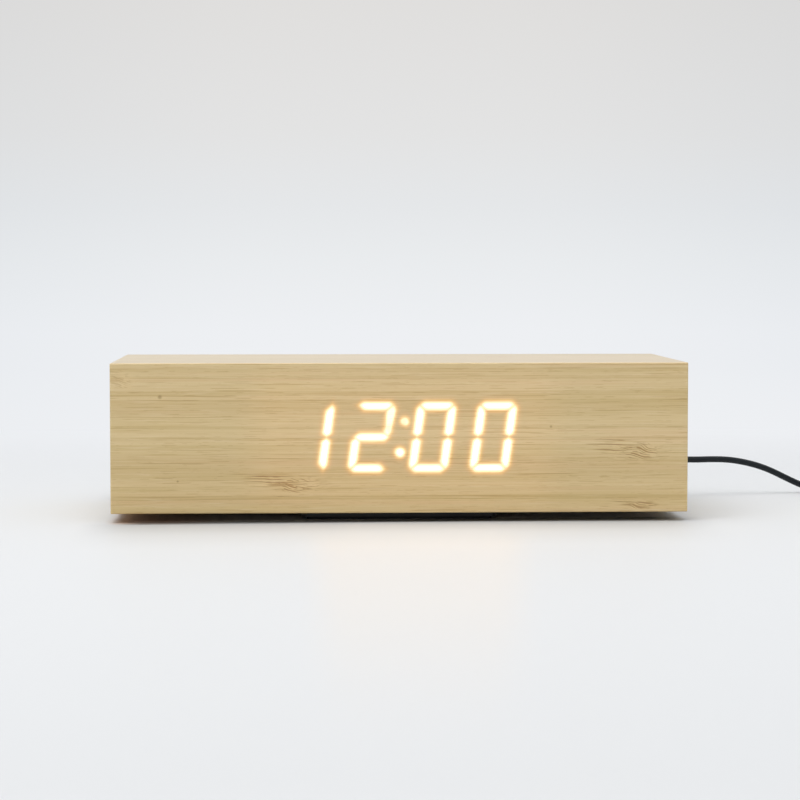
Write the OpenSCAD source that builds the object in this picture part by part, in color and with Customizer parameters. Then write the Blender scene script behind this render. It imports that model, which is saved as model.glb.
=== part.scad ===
// Table alarm clock: a mitred bamboo case that stands on a low black base. A seven-segment display
// shines through the thinned front board, the controls are on the rear, and a power lead is plugged in.
// Origin: middle of the footprint, on the surface it stands on. +X right, +Y back, +Z up. Millimetres.

/* [Case] */
// Overall width of the bamboo case
case_w = 210; // [190:1:260]
// Overall depth of the bamboo case
case_d = 88; // [84:1:120]
// Height of the bamboo case, without the gap below it
case_h = 54.6; // [50:0.2:80]
// Gap between the case and the surface it stands on
floor_gap = 3.4; // [3.2:0.1:5]
// Thickness of the bamboo boards
board_t = 6; // [5:0.5:7.5]
// Radius along the outer arrises of the boards
arris_r = 0.5; // [0.3:0.1:2]
// Clearance round the removable bottom board
lid_gap = 0.2; // [0.1:0.05:0.4]
// Side of the square glue blocks in the corners
block_side = 8; // [7:0.5:9]
// Bevel on the glue blocks' inner corner
block_bevel = 2; // [1:0.5:3]
// Length of the screws that hold the bottom board
lid_screw_l = 14; // [12:1:18]

/* [Display] */
// Bamboo left in front of the display
veneer_t = 0.9; // [0.6:0.1:1.5]
// Height of a digit
digit_h = 25.4; // [20:0.1:28]
// Width of a digit before it leans
digit_w = 14.3; // [11:0.1:15]
// Width of a lit stroke
stroke = 2.8; // [2:0.1:3.2]
// Distance from one digit's middle to the next
digit_pitch = 22.1; // [19:0.1:24]
// Sideways lean of the digits for each millimetre of height
lean = 0.143; // [0:0.001:0.2]
// Diameter of a colon dot
dot_d = 3; // [2:0.1:4]
// Height of each colon dot from the middle of the digits
dot_rise = 5.6; // [4:0.1:8]
// Plastic left between two neighbouring segment windows, measured along each
window_gap = 0.35; // [0.2:0.05:0.5]
// Chamfer on the outer corners of a digit
corner_cut = 1.7; // [1:0.1:2.4]
// Display's middle, to the right of the case's middle
display_dx = 0.6; // [-5:0.1:5]
// Display's middle, above the case's middle
display_dz = 0.35; // [-2:0.05:2]
// Reflector's margin beside the digits
reflector_side = 7; // [6:0.5:10]
// Reflector's margin above and below the digits
reflector_top = 3.6; // [2:0.1:5]
// Thickness of the diffuser film
film_t = 0.3; // [0.1:0.1:0.5]
// Thickness of every circuit board
pcb_t = 1.6; // [1:0.2:2]
// Display board's margin past the pocket at the sides
display_lip_x = 5.5; // [4.5:0.5:8]
// Display board's margin past the pocket at top and bottom
display_lip_z = 2.2; // [1:0.1:3]

/* [Base] */
// Width of the base
base_w = 72; // [66:1:90]
// Depth of the base
base_d = 66; // [64:1:74]
// Corner radius of the base seen from below
base_r = 3; // [1:0.5:5]
// How far the rubber feet stand below the base
foot_proud = 1; // [0.8:0.1:1.4]
// How deep the rubber feet sit in the base
foot_sunk = 0.4; // [0.3:0.1:0.6]
// Width of a rubber foot strip
foot_w = 7; // [5:0.5:8]
// Inset of a rubber foot strip from the base's edge
foot_inset = 1; // [0.6:0.2:2]
// How deep the base is let into the bottom board
base_sunk = 1.6; // [1:0.1:2]
// Wall of the battery well
well_wall = 1.8; // [1.5:0.1:2.5]
// Diameter of an AAA cell
cell_d = 10.5; // [10.5:0.1:10.5]
// Length of an AAA cell
cell_l = 44.5; // [44.5:0.1:44.5]
// Distance between the middles of two cells
cell_pitch = 11; // [10.8:0.1:12]
// Room for the contact springs at one end of a cell
spring_room = 4; // [3:0.5:6]
// Room for the contact plates at the other end of a cell
plate_room = 1.5; // [1:0.5:3]
// Thickness of the battery door
door_t = 2.1; // [1.8:0.1:2.4]
// Thickness of the lips that carry the door
lip_t = 0.8; // [0.6:0.1:1]
// Width of the tongue on each side of the door
tongue_w = 1.5; // [1:0.1:2]
// Running clearance round the door
door_gap = 0.2; // [0.1:0.05:0.3]
// Length of the door under the rails that stays engaged when it is drawn out

/* [Controls] */
// Gap between the control panel's flange and the corner block beside it
panel_gap = 1; // [0.5:0.5:10]
// Width of the panel's nose, which fills the cut-out
nose_w = 70; // [66:1:76]
// Height of the panel's nose
nose_h = 9.2; // [9:0.1:10]
// Gap between the nose and the bottom board
nose_rise = 0.6; // [0.3:0.1:1.5]
// Depth of the nose's face below the rear of the case
nose_recess = 0.6; // [0.4:0.1:1]
// Thickness of the nose's face
nose_t = 2; // [1.5:0.1:2.5]
// Side wall of the nose
nose_wall = 1.2; // [0.8:0.1:1.3]
// Thickness of the flange behind the rear board
flange_t = 2; // [1.5:0.1:3]
// How far the flange reaches past the nose at each end
flange_side = 3; // [3:0.5:4]
// Height of the flange
flange_h = 17; // [16:0.5:20]
// Diameter of a button
key_d = 5; // [4:0.1:5.2]
// Travel of a button
key_travel = 0.5; // [0.3:0.1:0.6]
// Distance between two buttons
key_pitch = 10.5; // [9:0.5:11]
// Clearance round a moving control
key_gap = 0.15; // [0.1:0.05:0.2]
// Travel of the alarm slider
slider_travel = 2; // [1.5:0.1:2.5]
// Distance of the power jack from the panel's middle
jack_dx = 26; // [25:0.5:28]
// Distance of the alarm slider from the panel's middle
slider_dx = 9; // [7:0.5:11]

/* [Electronics] */
// Width of the main board
main_w = 46; // [42:1:50]
// Depth of the main board
main_d = 44; // [40:1:46]
// Gap between the battery well and the main board
main_gap = 7.2; // [6.8:0.2:9]
// Height of the main board's standoffs
standoff_h = 5; // [4:0.5:8]
// Inset of the main board's screws
main_inset = 3.5; // [3:0.5:5]
// Diameter of the coin cell
coin_d = 20; // [20:0.1:20]
// Thickness of the coin cell
coin_t = 3.2; // [3.2:0.1:3.2]
// Diameter of the buzzer
buzzer_d = 12; // [9:0.5:14]
// Height of the buzzer
buzzer_h = 8.5; // [5:0.5:10]
// Width of the ribbon to the display
ribbon_w = 9; // [6:1:12]
// Thickness of the ribbon to the display
ribbon_t = 0.9; // [0.6:0.1:1.2]

/* [Lead] */
// Outer diameter of the lead
cord_d = 2.5; // [2.5:0.1:2.5]
// Width and height of the plug at the clock's end
plug_side = 9.6; // [8:0.1:10]
// Diameter of the plug's barrel
barrel_d = 3.8; // [3.5:0.1:4]
// Width of the coil's bundle of turns
bundle_w = 10.2; // [10.2:0.2:10.2]
// Height of the coil's bundle of turns
bundle_h = 10; // [10:0.5:10]
// Diameter of the coil at the middle of its turns
coil_d = 25.3; // [25.3:0.1:25.3]
// Thickness of the tie round the coil
tie_t = 0.5; // [0.5:0.1:0.5]
// Width of the tie round the coil
tie_w = 7; // [4:1:10]

/* [Hidden] */
$fn = 40;

eps = 0.01;       // overlap that keeps a cut clean
over = 5;         // reach of a cutter past the face it opens
fit = 0.05;       // radial clearance round a fixed screw or pin
snug = 0.1;       // clearance round a seated piece

// Case
half_w = case_w / 2;
half_d = case_d / 2;
case_z0 = floor_gap;
case_z1 = floor_gap + case_h;
in_w = half_w - board_t;
in_d = half_d - board_t;
in_z0 = case_z0 + board_t;
in_z1 = case_z1 - board_t;

// Screws: shank radius, head radius and head height
lid_shank_r = 1.4;
lid_head_r = 2.7;
lid_head_h = 1.7;
lid_head_sunk = 0.3;
small_shank_r = 1;
small_head_r = 1.9;
small_head_h = 1.3;
cross_w = 0.6;
cross_depth = 0.7;
cross_share = 0.6;   // length of the recess as a share of the head's diameter
pan_share = 0.8;     // top of a pan head as a share of its diameter
wood_bite = 0.6;     // share of a board that a screw from inside goes into
pcb_r = 1;           // corners of the boards in the case
flange_r = 1.5;      // corners of the flange behind the rear board

// Base
base_z0 = foot_proud;
base_z1 = case_z0 + base_sunk;
foot_z1 = foot_proud + foot_sunk;
foot_end = 2;
foot_l = base_w - 2 * foot_end;
foot_r = 2;
foot_y = base_d / 2 - foot_inset - foot_w / 2;
base_screw_x = foot_l / 2 - foot_w / 2;
base_screw_bite = 3.2;
base_screw_l = base_z1 - foot_z1 + base_screw_bite;
door_z1 = base_z0 + door_t;
channel_z1 = door_z1 + door_gap;
cells = 3;
cell_bottom = channel_z1 + snug;
cell_z = cell_bottom + cell_d / 2;
well_half_x = (cell_l + spring_room + plate_room) / 2;
well_side_gap = 0.4;
well_half_y = cells * cell_pitch / 2 + well_side_gap;
well_out_x = well_half_x + well_wall;
well_out_y = well_half_y + well_wall;
well_roof = cell_z + cell_d / 2 + well_side_gap;
well_z1 = well_roof + well_wall;
door_cover_x = 2.5;
door_cover_y = 1;
door_x0 = -well_half_x - door_cover_x;
door_half_y = well_half_y + door_cover_y;
tongue_z0 = base_z0 + lip_t + door_gap;
rib_pitch = 2;
ribs = 5;
rib_r = 0.5;
rib_inset = 6;
contact_t = 0.4;
contact_side = 8;
contact_boss_r = 2;
contact_boss_t = 0.4;
spring_turns = 3;
spring_wire_r = 0.35;
spring_big_r = 3.6;
spring_small_r = 2.2;
wire_hole_r = 2.2;
wire_hole_rise = 0.75;
wire_hole_z = in_z0 + wire_hole_rise;

// Display, from the front face inwards
digits = 4;
disp_x = display_dx;
disp_z = case_z0 + case_h / 2 + display_dz;
refl_w = (digits - 1) * digit_pitch + digit_w + 2 * reflector_side;
refl_h = digit_h + 2 * reflector_top;
pocket_w = refl_w + 2 * snug;
pocket_h = refl_h + 2 * snug;
pocket_r = 1;
film_y = -half_d + veneer_t;
refl_y0 = film_y + film_t;
refl_y1 = -in_d;
dboard_y1 = refl_y1 + pcb_t;
dboard_w = pocket_w + 2 * display_lip_x;
dboard_h = pocket_h + 2 * display_lip_z;
dscrew_x = pocket_w / 2 + display_lip_x / 2;
dscrew_inset = 5;
dscrew_z = dboard_h / 2 - dscrew_inset;
dscrew_l = pcb_t + board_t * wood_bite;
driver_leads = 14;
driver_dx = 18;
clock_leads = 10;
led_w = 1.6;
led_h = 0.8;
chip_lead_pitch = 1.27;
chip_lead_w = 0.4;
chip_lead_l = 1.6;
chip_lead_h = 0.5;
chip_w = 7.5;
chip_h = 2.3;
chip_rise = 0.1;
socket_w = 8;
socket_d = 5;
socket_h = 5.5;
socket_wall = 0.7;
socket_mouth = 1;

// Main board
main_x = well_half_x + well_wall + main_gap + main_w / 2;
main_z0 = in_z0 + standoff_h;
main_z1 = main_z0 + pcb_t;
function main_at(x, y) = [main_x + x, y, main_z1];   // a place on the main board, from its middle
clock_at = main_at(10.5, -8);
crystal_at = main_at(20, 0);
buzzer_at = main_at(10, 9);
coin_at = main_at(-9.5, 0);
capacitor_at = [main_at(0, 17.2), main_at(-7.5, 17.2)];
ribbon_at = main_at(-11, -18);
standoff_r = 2.5;
standoff_bite = 3.5;

// Controls on the rear
nose_z = in_z0 + nose_rise + nose_h / 2;
nose_y1 = half_d - nose_recess;
nose_in_y = nose_y1 - nose_t;
flange_y0 = in_d - flange_t;
flange_z0 = in_z0 + snug;
flange_w = nose_w + 2 * flange_side;
panel_x = in_w - block_side - panel_gap - flange_w / 2;
boss_l = 4;
boss_r = 2.2;
cboard_y1 = flange_y0 - boss_l;
cboard_y0 = cboard_y1 - pcb_t;
cboard_side = 1;
cboard_w = nose_w + 2 * cboard_side;
cboard_inset = 0.3;
cboard_z0 = flange_z0 + cboard_inset;
cboard_h = flange_h - 2 * cboard_inset;
screw_inset = 3;
upper_z = flange_z0 + flange_h - screw_inset;
panel_screw_dx = flange_w / 2 - screw_inset;
boss_inset = 10;
boss_dx = nose_w / 2 - boss_inset;
key_x = [for (i = [0 : 2]) panel_x - jack_dx + i * key_pitch];
key_rim = 0.6;
key_rim_t = 1;
key_rim_gap = 0.3;
key_edge = 0.4;
key_stem_r = key_d / 2 - 1;
key_recess = 0.3;
key_y1 = half_d - key_recess;
tact_side = 6;
tact_h = 3.5;
plunger_r = 1.7;
plunger_proud = 1.5;
plunger_floor = 1.2;
plunger_y1 = cboard_y1 + tact_h + plunger_proud;
plunger_y0 = cboard_y1 + plunger_floor;
mark_l = 2.4;
mark_w = 0.5;
mark_depth = 0.25;
slider_x = panel_x + slider_dx;
slider_w = 3;
slider_h = 2.2;
stem_w = 2;
stem_h = 1.6;
stem_floor = 2;
slider_head = 1;
switch_w = 9;
switch_h = 4.4;
switch_d = 4;
switch_floor = 1.6;
jack_x = panel_x + jack_dx;
jack_w = 8;
jack_h = nose_h - 2 * nose_wall - 4 * snug;
jack_y1 = nose_in_y - 2 * snug;
jack_bore_r = barrel_d / 2 + fit;
jack_pin_r = 0.55;
jack_pin_short = 0.6;

// Plug at the clock's end: a moulded block whose lead leaves sideways, to the right
plug_gap = 0.2;
plug_depth = 9.4;
plug_y0 = half_d + plug_gap;
plug_y1 = plug_y0 + plug_depth;
plug_y = (plug_y0 + plug_y1) / 2;
plug_half = 5.5;
plug_r = 2;
plug_hole_gap = 0.5;
plug_hole_r = barrel_d / 2 + plug_hole_gap;
relief_x0 = jack_x + plug_half;
relief_l = 18.5;
relief_x1 = relief_x0 + relief_l;
relief_r0 = 3;
relief_r1 = 1.9;
barrel_l = 9.5;
barrel_y0 = plug_y0 - barrel_l;
barrel_bore_r = 0.8;
barrel_root = 1;
barrel_end_gap = 0.4;

// Lead: hand-chosen points from the plug's relief to the coil, and from the coil to the far plug
cord_r = cord_d / 2;
cord_sides = 8;
cord_route = [
    [102, 48.9, 14.6], [107, 48.9, 14.6], [113, 49.2, 14.8], [119, 49.8, 14.9], [125, 50.7, 14.8],
    [131, 52, 14.8], [137, 53.6, 14.5], [142, 54.9, 13.8], [147, 56.3, 12.7], [152, 57.6, 11.2],
    [157, 58.9, 9.2], [162, 60.2, 6.8], [166, 61.2, 4.9], [170, 62.1, 3.2], [174, 62.9, 2.1],
    [179, 63.7, 1.4], [184, 64.2, 1.3], [189, 64.5, 1.5], [194, 64.5, 1.8],
];
tail_route = [
    [210.5, 48, 9.3], [210.5, 43, 9], [210.5, 38, 8], [210.5, 33, 6.4], [210.5, 28, 4.8],
    [210.5, 23, 4], [210.5, 18, 4],
];
coil_x = 194;
coil_y = 48;
coil_z0 = tie_t;
tie_angle = 215;

// Far plug, lying on the surface
usb_x = 210.5;
usb_y1 = 18;
usb_relief_l = 8;
usb_grip_l = 24;
usb_grip_w = 15;
usb_grip_h = 8;
usb_grip_r = 2;
usb_shell_l = 12;
usb_shell_w = 12;
usb_shell_h = 4.5;
usb_shell_t = 0.4;
usb_tongue_h = 1.8;
usb_root = 1;
usb_tongue_short = 0.5;

// ---- Helpers --------------------------------------------------------------------------------

// Rectangle with round corners, about the origin
module round_rect(w, h, r) {
    square([w - 2 * r, h], center = true);
    square([w, h - 2 * r], center = true);
    for (x = [-1, 1], y = [-1, 1])
        translate([x * (w / 2 - r), y * (h / 2 - r)]) circle(r);
}

// Extrude an outline upwards between two heights
module slab_z(z0, z1) {
    translate([0, 0, z0]) linear_extrude(z1 - z0) children();
}

// Extrude an outline drawn in X and Z between two depths
module slab_y(y0, y1) {
    translate([0, y1, 0]) rotate([90, 0, 0]) linear_extrude(y1 - y0) children();
}

// Extrude an outline drawn in Y and Z between two sides
module slab_x(x0, x1) {
    translate([x0, 0, 0]) rotate([90, 0, 90]) linear_extrude(x1 - x0) children();
}

// Box between two corners
module span(a, b) {
    translate(a) cube(b - a);
}

// Cylinder along +Y
module rod_y(x, z, y0, y1, r) {
    translate([x, y0, z]) rotate([-90, 0, 0]) cylinder(h = y1 - y0, r = r);
}

// Cylinder along +X
module rod_x(y, z, x0, x1, r) {
    translate([x0, y, z]) rotate([0, 90, 0]) cylinder(h = x1 - x0, r = r);
}

// Cross recess cut into a screw's head
module cross_recess(head_r) {
    for (a = [0, 90])
        rotate([0, 0, a])
            translate([-head_r * cross_share, -cross_w / 2, -eps])
                cube([2 * head_r * cross_share, cross_w, cross_depth + eps]);
}

// Countersunk screw along +Z with its head's face at the origin
module flat_screw(shank_r, head_r, head_h, length) {
    difference() {
        union() {
            cylinder(h = head_h, r1 = head_r, r2 = shank_r);
            cylinder(h = length, r = shank_r);
        }
        cross_recess(head_r);
    }
}

// Hole for a countersunk screw, open below the head
module flat_screw_hole(shank_r, head_r, head_h, length) {
    translate([0, 0, -over]) cylinder(h = over + eps, r = head_r + fit);
    cylinder(h = head_h, r1 = head_r + fit, r2 = shank_r + fit);
    cylinder(h = length + snug, r = shank_r + fit);
}

// Pan-head screw along +Z, with the underside of its head at the origin
module pan_screw(shank_r, head_r, head_h, length) {
    difference() {
        union() {
            translate([0, 0, -head_h]) cylinder(h = head_h, r1 = head_r * pan_share, r2 = head_r);
            cylinder(h = length, r = shank_r);
        }
        translate([0, 0, -head_h]) cross_recess(head_r);
    }
}

// Small-outline chip that lies on Z = 0, with a row of leads along each long side
module outline_chip(leads) {
    body_l = leads * chip_lead_pitch + chip_lead_w;
    translate([-body_l / 2, -chip_w / 2, chip_rise]) cube([body_l, chip_w, chip_h]);
    for (i = [0 : leads - 1], side = [-1, 1])
        translate([(i - (leads - 1) / 2) * chip_lead_pitch - chip_lead_w / 2,
                   side * (chip_w + chip_lead_l) / 2 - chip_lead_l / 2 - side * snug, 0])
            cube([chip_lead_w, chip_lead_l, chip_lead_h]);
}

// Wire-to-board socket that stands on Z = 0
module wire_socket(w, d, h) {
    difference() {
        translate([-w / 2, -d / 2, 0]) cube([w, d, h]);
        translate([-w / 2 + socket_wall, -d / 2 + socket_wall, h - socket_mouth])
            cube([w - 2 * socket_wall, d - 2 * socket_wall, socket_mouth + eps]);
    }
}

// Round tube swept along points: a closed ring of flat sides at each point
function unit(v) = v / norm(v);
function heading(p, i) =
    i == 0 ? unit(p[1] - p[0]) :
    i == len(p) - 1 ? unit(p[i] - p[i - 1]) :
    unit(unit(p[i + 1] - p[i]) + unit(p[i] - p[i - 1]));
function ring(p, t, r, sides, ref) =
    let (s = unit(cross(t, ref)), u = cross(s, t))
    [for (k = [0 : sides - 1]) p + r * (cos(360 * k / sides) * s + sin(360 * k / sides) * u)];
module sweep(points, r, sides, ref = [0, 0, 1]) {
    n = len(points);
    polyhedron(
        [for (i = [0 : n - 1]) each ring(points[i], heading(points, i), r, sides, ref)],
        [
            [for (k = [0 : sides - 1]) k],
            for (i = [0 : n - 2], k = [0 : sides - 1])
                let (a = i * sides + k, b = i * sides + (k + 1) % sides)
                each [[a, a + sides, b + sides], [a, b + sides, b]],
            [for (k = [sides - 1 : -1 : 0]) (n - 1) * sides + k],
        ]
    );
}

// ---- Case -----------------------------------------------------------------------------------

// Whole outside of the case, with round arrises
module case_block() {
    intersection() {
        slab_z(case_z0, case_z1) round_rect(case_w, case_d, arris_r);
        translate([0, 0, (case_z0 + case_z1) / 2]) slab_y(-half_d, half_d) round_rect(case_w, case_h, arris_r);
        translate([0, 0, (case_z0 + case_z1) / 2]) slab_x(-half_w, half_w) round_rect(case_d, case_h, arris_r);
    }
}

// Front board's share of the case: mitred to the top and to both ends
module front_share() {
    intersection() {
        case_block();
        slab_z(case_z0, case_z1)
            polygon([[-half_w, -half_d], [half_w, -half_d], [in_w, -in_d], [-in_w, -in_d]]);
        slab_x(-half_w, half_w)
            polygon([[-half_d, case_z0], [-half_d, case_z1], [-in_d, in_z1], [-in_d, case_z0]]);
    }
}

// Right end board's share of the case
module end_share() {
    intersection() {
        case_block();
        slab_z(case_z0, case_z1)
            polygon([[half_w, -half_d], [half_w, half_d], [in_w, in_d], [in_w, -in_d]]);
        slab_y(-half_d, half_d)
            polygon([[half_w, case_z0], [half_w, case_z1], [in_w, in_z1], [in_w, case_z0]]);
    }
}

module front_board() {
    color("burlywood")
        difference() {
            front_share();
            translate([disp_x, 0, disp_z])
                slab_y(film_y, refl_y1 + eps) round_rect(pocket_w, pocket_h, pocket_r);
            display_screw_places() cylinder(h = dscrew_l + snug, r = small_shank_r + fit);
        }
}

module top_board() {
    color("wheat")
        intersection() {
            case_block();
            slab_x(-half_w, half_w)
                polygon([[-half_d, case_z1], [half_d, case_z1], [in_d, in_z1], [-in_d, in_z1]]);
            slab_y(-half_d, half_d)
                polygon([[-half_w, case_z1], [half_w, case_z1], [in_w, in_z1], [-in_w, in_z1]]);
        }
}

module rear_board() {
    color("burlywood")
        difference() {
            mirror([0, 1, 0]) front_share();
            translate([panel_x, 0, nose_z])
                slab_y(in_d - eps, half_d + eps)
                    round_rect(nose_w + 2 * snug, nose_h + 2 * snug, nose_h / 2 + snug - eps);
            panel_screw_places() cylinder(h = flange_t + board_t * wood_bite + snug, r = small_shank_r + fit);
        }
}

module right_end_board() {
    color("burlywood") end_share();
}

module left_end_board() {
    color("burlywood") mirror([1, 0, 0]) end_share();
}

// Places of the four screws that hold the bottom board
module lid_screw_places() {
    for (x = [-1, 1], y = [-1, 1])
        translate([x * (in_w - block_side / 2), y * (in_d - block_side / 2), case_z0 + lid_head_sunk])
            children();
}

// Places of the four screws that hold the base, hidden under the rubber feet
module base_screw_places() {
    for (x = [-1, 1], y = [-1, 1])
        translate([x * base_screw_x, y * foot_y, foot_z1]) children();
}

// Places of the four screws under the main board
module main_screw_places(z) {
    for (x = [-1, 1], y = [-1, 1])
        translate([main_x + x * (main_w / 2 - main_inset), y * (main_d / 2 - main_inset), z]) children();
}

module bottom_board() {
    color("burlywood")
        difference() {
            span([-in_w + lid_gap, -in_d + lid_gap, case_z0], [in_w - lid_gap, in_d - lid_gap, in_z0]);
            slab_z(case_z0 - eps, base_z1) round_rect(base_w + 2 * snug, base_d + 2 * snug, base_r + snug);
            slab_z(case_z0 - eps, in_z0 + eps) square(2 * [well_out_x + snug, well_out_y + snug], center = true);
            lid_screw_places() flat_screw_hole(lid_shank_r, lid_head_r, lid_head_h, lid_screw_l);
            base_screw_places() cylinder(h = base_screw_l + snug, r = small_shank_r + fit);
            main_screw_places(in_z0 - standoff_bite - snug)
                cylinder(h = standoff_bite + snug + eps, r = small_shank_r + fit);
        }
}

module corner_blocks() {
    color("tan")
        for (x = [0, 1], y = [0, 1])
            mirror([x, 0, 0]) mirror([0, y, 0])
                difference() {
                    slab_z(in_z0, in_z1)
                        polygon([
                            [in_w, in_d], [in_w - block_side, in_d],
                            [in_w - block_side, in_d - block_side + block_bevel],
                            [in_w - block_side + block_bevel, in_d - block_side], [in_w, in_d - block_side],
                        ]);
                    translate([in_w - block_side / 2, in_d - block_side / 2, in_z0 - eps])
                        cylinder(h = lid_head_sunk + lid_screw_l - board_t + snug, r = lid_shank_r + fit);
                }
}

module bottom_screws() {
    color("silver") lid_screw_places() flat_screw(lid_shank_r, lid_head_r, lid_head_h, lid_screw_l);
}

// ---- Base -----------------------------------------------------------------------------------

// Channel in the base that the battery door runs in, open at the right
module door_channel() {
    x1 = base_w / 2 + over;
    span([door_x0 - door_gap, -door_half_y - door_gap, base_z0 - eps],
         [x1, door_half_y + door_gap, channel_z1]);
    span([door_x0 - door_gap, -door_half_y - tongue_w - door_gap, base_z0 + lip_t],
         [x1, door_half_y + tongue_w + door_gap, channel_z1]);
}

module base_housing() {
    color("dimgray")
        difference() {
            union() {
                slab_z(base_z0, base_z1) round_rect(base_w, base_d, base_r);
                slab_z(base_z0, well_z1) square(2 * [well_out_x, well_out_y], center = true);
            }
            span([-well_half_x, -well_half_y, base_z0 - eps], [well_half_x, well_half_y, well_roof]);
            door_channel();
            for (y = [-1, 1])
                translate([0, y * foot_y, 0])
                    slab_z(base_z0 - eps, foot_z1)
                        round_rect(foot_l + 2 * snug, foot_w + 2 * snug, foot_r + snug);
            base_screw_places() flat_screw_hole(small_shank_r, small_head_r, small_head_h, base_screw_l);
            rod_x(0, wire_hole_z, well_half_x - eps, well_half_x + well_wall + eps, wire_hole_r);
        }
}

module base_screws() {
    color("silver") base_screw_places() flat_screw(small_shank_r, small_head_r, small_head_h, base_screw_l);
}

module rubber_feet() {
    color("black")
        for (y = [-1, 1])
            translate([0, y * foot_y, 0]) slab_z(0, foot_z1) round_rect(foot_l, foot_w, foot_r);
}

module battery_door() {
    color("dimgray")
        difference() {
            union() {
                span([door_x0, -door_half_y, base_z0], [base_w / 2, door_half_y, door_z1]);
                span([door_x0, -door_half_y - tongue_w, tongue_z0],
                     [base_w / 2, door_half_y + tongue_w, door_z1]);
            }
            for (i = [0 : ribs - 1])
                translate([base_w / 2 - rib_inset - i * rib_pitch, 0, base_z0])
                    rotate([90, 0, 0]) cylinder(h = door_half_y, r = rib_r, center = true);
        }
}

// Place of each cell: cells lie along X and point alternately left and right
module cell_places() {
    for (i = [0 : cells - 1])
        translate([0, (i - (cells - 1) / 2) * cell_pitch, cell_z]) mirror([i % 2, 0, 0]) children();
}

module battery_cells() {
    button_l = 1;
    crimp = 0.4;
    color("slategray")
        cell_places()
            translate([well_half_x - plate_room - cell_l, 0, 0]) rotate([0, 90, 0]) {
                cylinder(h = crimp, r1 = cell_d / 2 - crimp, r2 = cell_d / 2);
                translate([0, 0, crimp]) cylinder(h = cell_l - button_l - 2 * crimp, r = cell_d / 2);
                translate([0, 0, cell_l - button_l - crimp])
                    cylinder(h = crimp, r1 = cell_d / 2, r2 = cell_d / 2 - crimp);
                translate([0, 0, cell_l - button_l]) cylinder(h = button_l, r = contact_boss_r);
            }
}

// Conical contact springs, which press the cells' flat ends
module battery_springs() {
    steps = 12;
    sides = 6;
    x0 = -well_half_x + contact_t + spring_wire_r + fit / 2;
    length = spring_room - contact_t - 2 * spring_wire_r - snug;
    rings = spring_turns * steps;
    color("silver")
        cell_places()
            sweep([for (i = [0 : rings])
                let (t = i / rings, r = spring_big_r + (spring_small_r - spring_big_r) * t, a = 360 * i / steps)
                [x0 + length * t, r * cos(a), r * sin(a)]], spring_wire_r, sides, [1, 0, 0]);
}

module contact_plates() {
    boss_x0 = well_half_x - plate_room + fit;
    color("silver")
        cell_places() {
            span([-well_half_x, -contact_side / 2, -contact_side / 2],
                 [-well_half_x + contact_t, contact_side / 2, contact_side / 2]);
            difference() {
                union() {
                    span([well_half_x - contact_t, -contact_side / 2, -contact_side / 2],
                         [well_half_x, contact_side / 2, contact_side / 2]);
                    rod_x(0, 0, boss_x0, well_half_x - contact_t, contact_boss_r + contact_boss_t);
                }
                rod_x(0, 0, boss_x0 + contact_t, well_half_x + eps, contact_boss_r);
            }
        }
}

// ---- Display --------------------------------------------------------------------------------

// Outlines of the seven segments of an upright digit, about its middle
hw = digit_w / 2;
hh = digit_h / 2;
bar_outline = [
    [-hw + corner_cut, hh], [hw - corner_cut, hh], [hw - corner_cut / 2 - window_gap, hh - corner_cut / 2],
    [hw - stroke - window_gap, hh - stroke], [-hw + stroke + window_gap, hh - stroke],
    [-hw + corner_cut / 2 + window_gap, hh - corner_cut / 2],
];
side_outline = [
    [hw, hh - corner_cut], [hw - corner_cut / 2, hh - corner_cut / 2 - window_gap],
    [hw - stroke, hh - stroke - window_gap], [hw - stroke, stroke / 2 + window_gap],
    [hw - stroke / 2, window_gap], [hw, stroke / 2 + window_gap],
];
middle_outline = [
    [-hw + stroke / 2 + window_gap, 0], [-hw + stroke + window_gap, stroke / 2],
    [hw - stroke - window_gap, stroke / 2], [hw - stroke / 2 - window_gap, 0],
    [hw - stroke - window_gap, -stroke / 2], [-hw + stroke + window_gap, -stroke / 2],
];
function flip(outline, sx, sz) = [for (p = outline) [p[0] * sx, p[1] * sz]];
function lean_over(outline) = [for (p = outline) [p[0] + lean * p[1], p[1]]];
digit_outlines = [
    for (o = concat(
        [middle_outline],
        [for (sz = [-1, 1]) flip(bar_outline, 1, sz)],
        [for (sx = [-1, 1], sz = [-1, 1]) flip(side_outline, sx, sz)]
    )) lean_over(o),
];
led_spots = [
    for (p = concat(
        [[0, 0], [0, hh - stroke / 2], [0, -hh + stroke / 2]],
        [for (sx = [-1, 1], sz = [-1, 1]) [sx * (hw - stroke / 2), sz * hh / 2]]
    )) [p[0] + lean * p[1], p[1]],
];

// Place of each digit's middle
module digit_places() {
    for (i = [0 : digits - 1])
        translate([disp_x + (i - (digits - 1) / 2) * digit_pitch, 0, disp_z]) children();
}

// Place of each colon dot
module dot_places() {
    for (s = [-1, 1])
        translate([disp_x + s * lean * dot_rise, 0, disp_z + s * dot_rise]) children();
}

// Places of the four screws that hold the display board, pointing at the front
module display_screw_places() {
    for (x = [-1, 1], z = [-1, 1])
        translate([disp_x + x * dscrew_x, dboard_y1, disp_z + z * dscrew_z]) rotate([90, 0, 0]) children();
}

module display_reflector() {
    color("white")
        difference() {
            translate([disp_x, 0, disp_z]) slab_y(refl_y0, refl_y1) round_rect(refl_w, refl_h, pocket_r - snug);
            digit_places()
                for (o = digit_outlines) slab_y(refl_y0 - eps, refl_y1 + eps) polygon(o);
            dot_places() rod_y(0, 0, refl_y0 - eps, refl_y1 + eps, dot_d / 2);
        }
}

module diffuser_film() {
    color("ivory")
        translate([disp_x, 0, disp_z]) slab_y(film_y, refl_y0) round_rect(refl_w, refl_h, pocket_r - snug);
}

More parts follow.
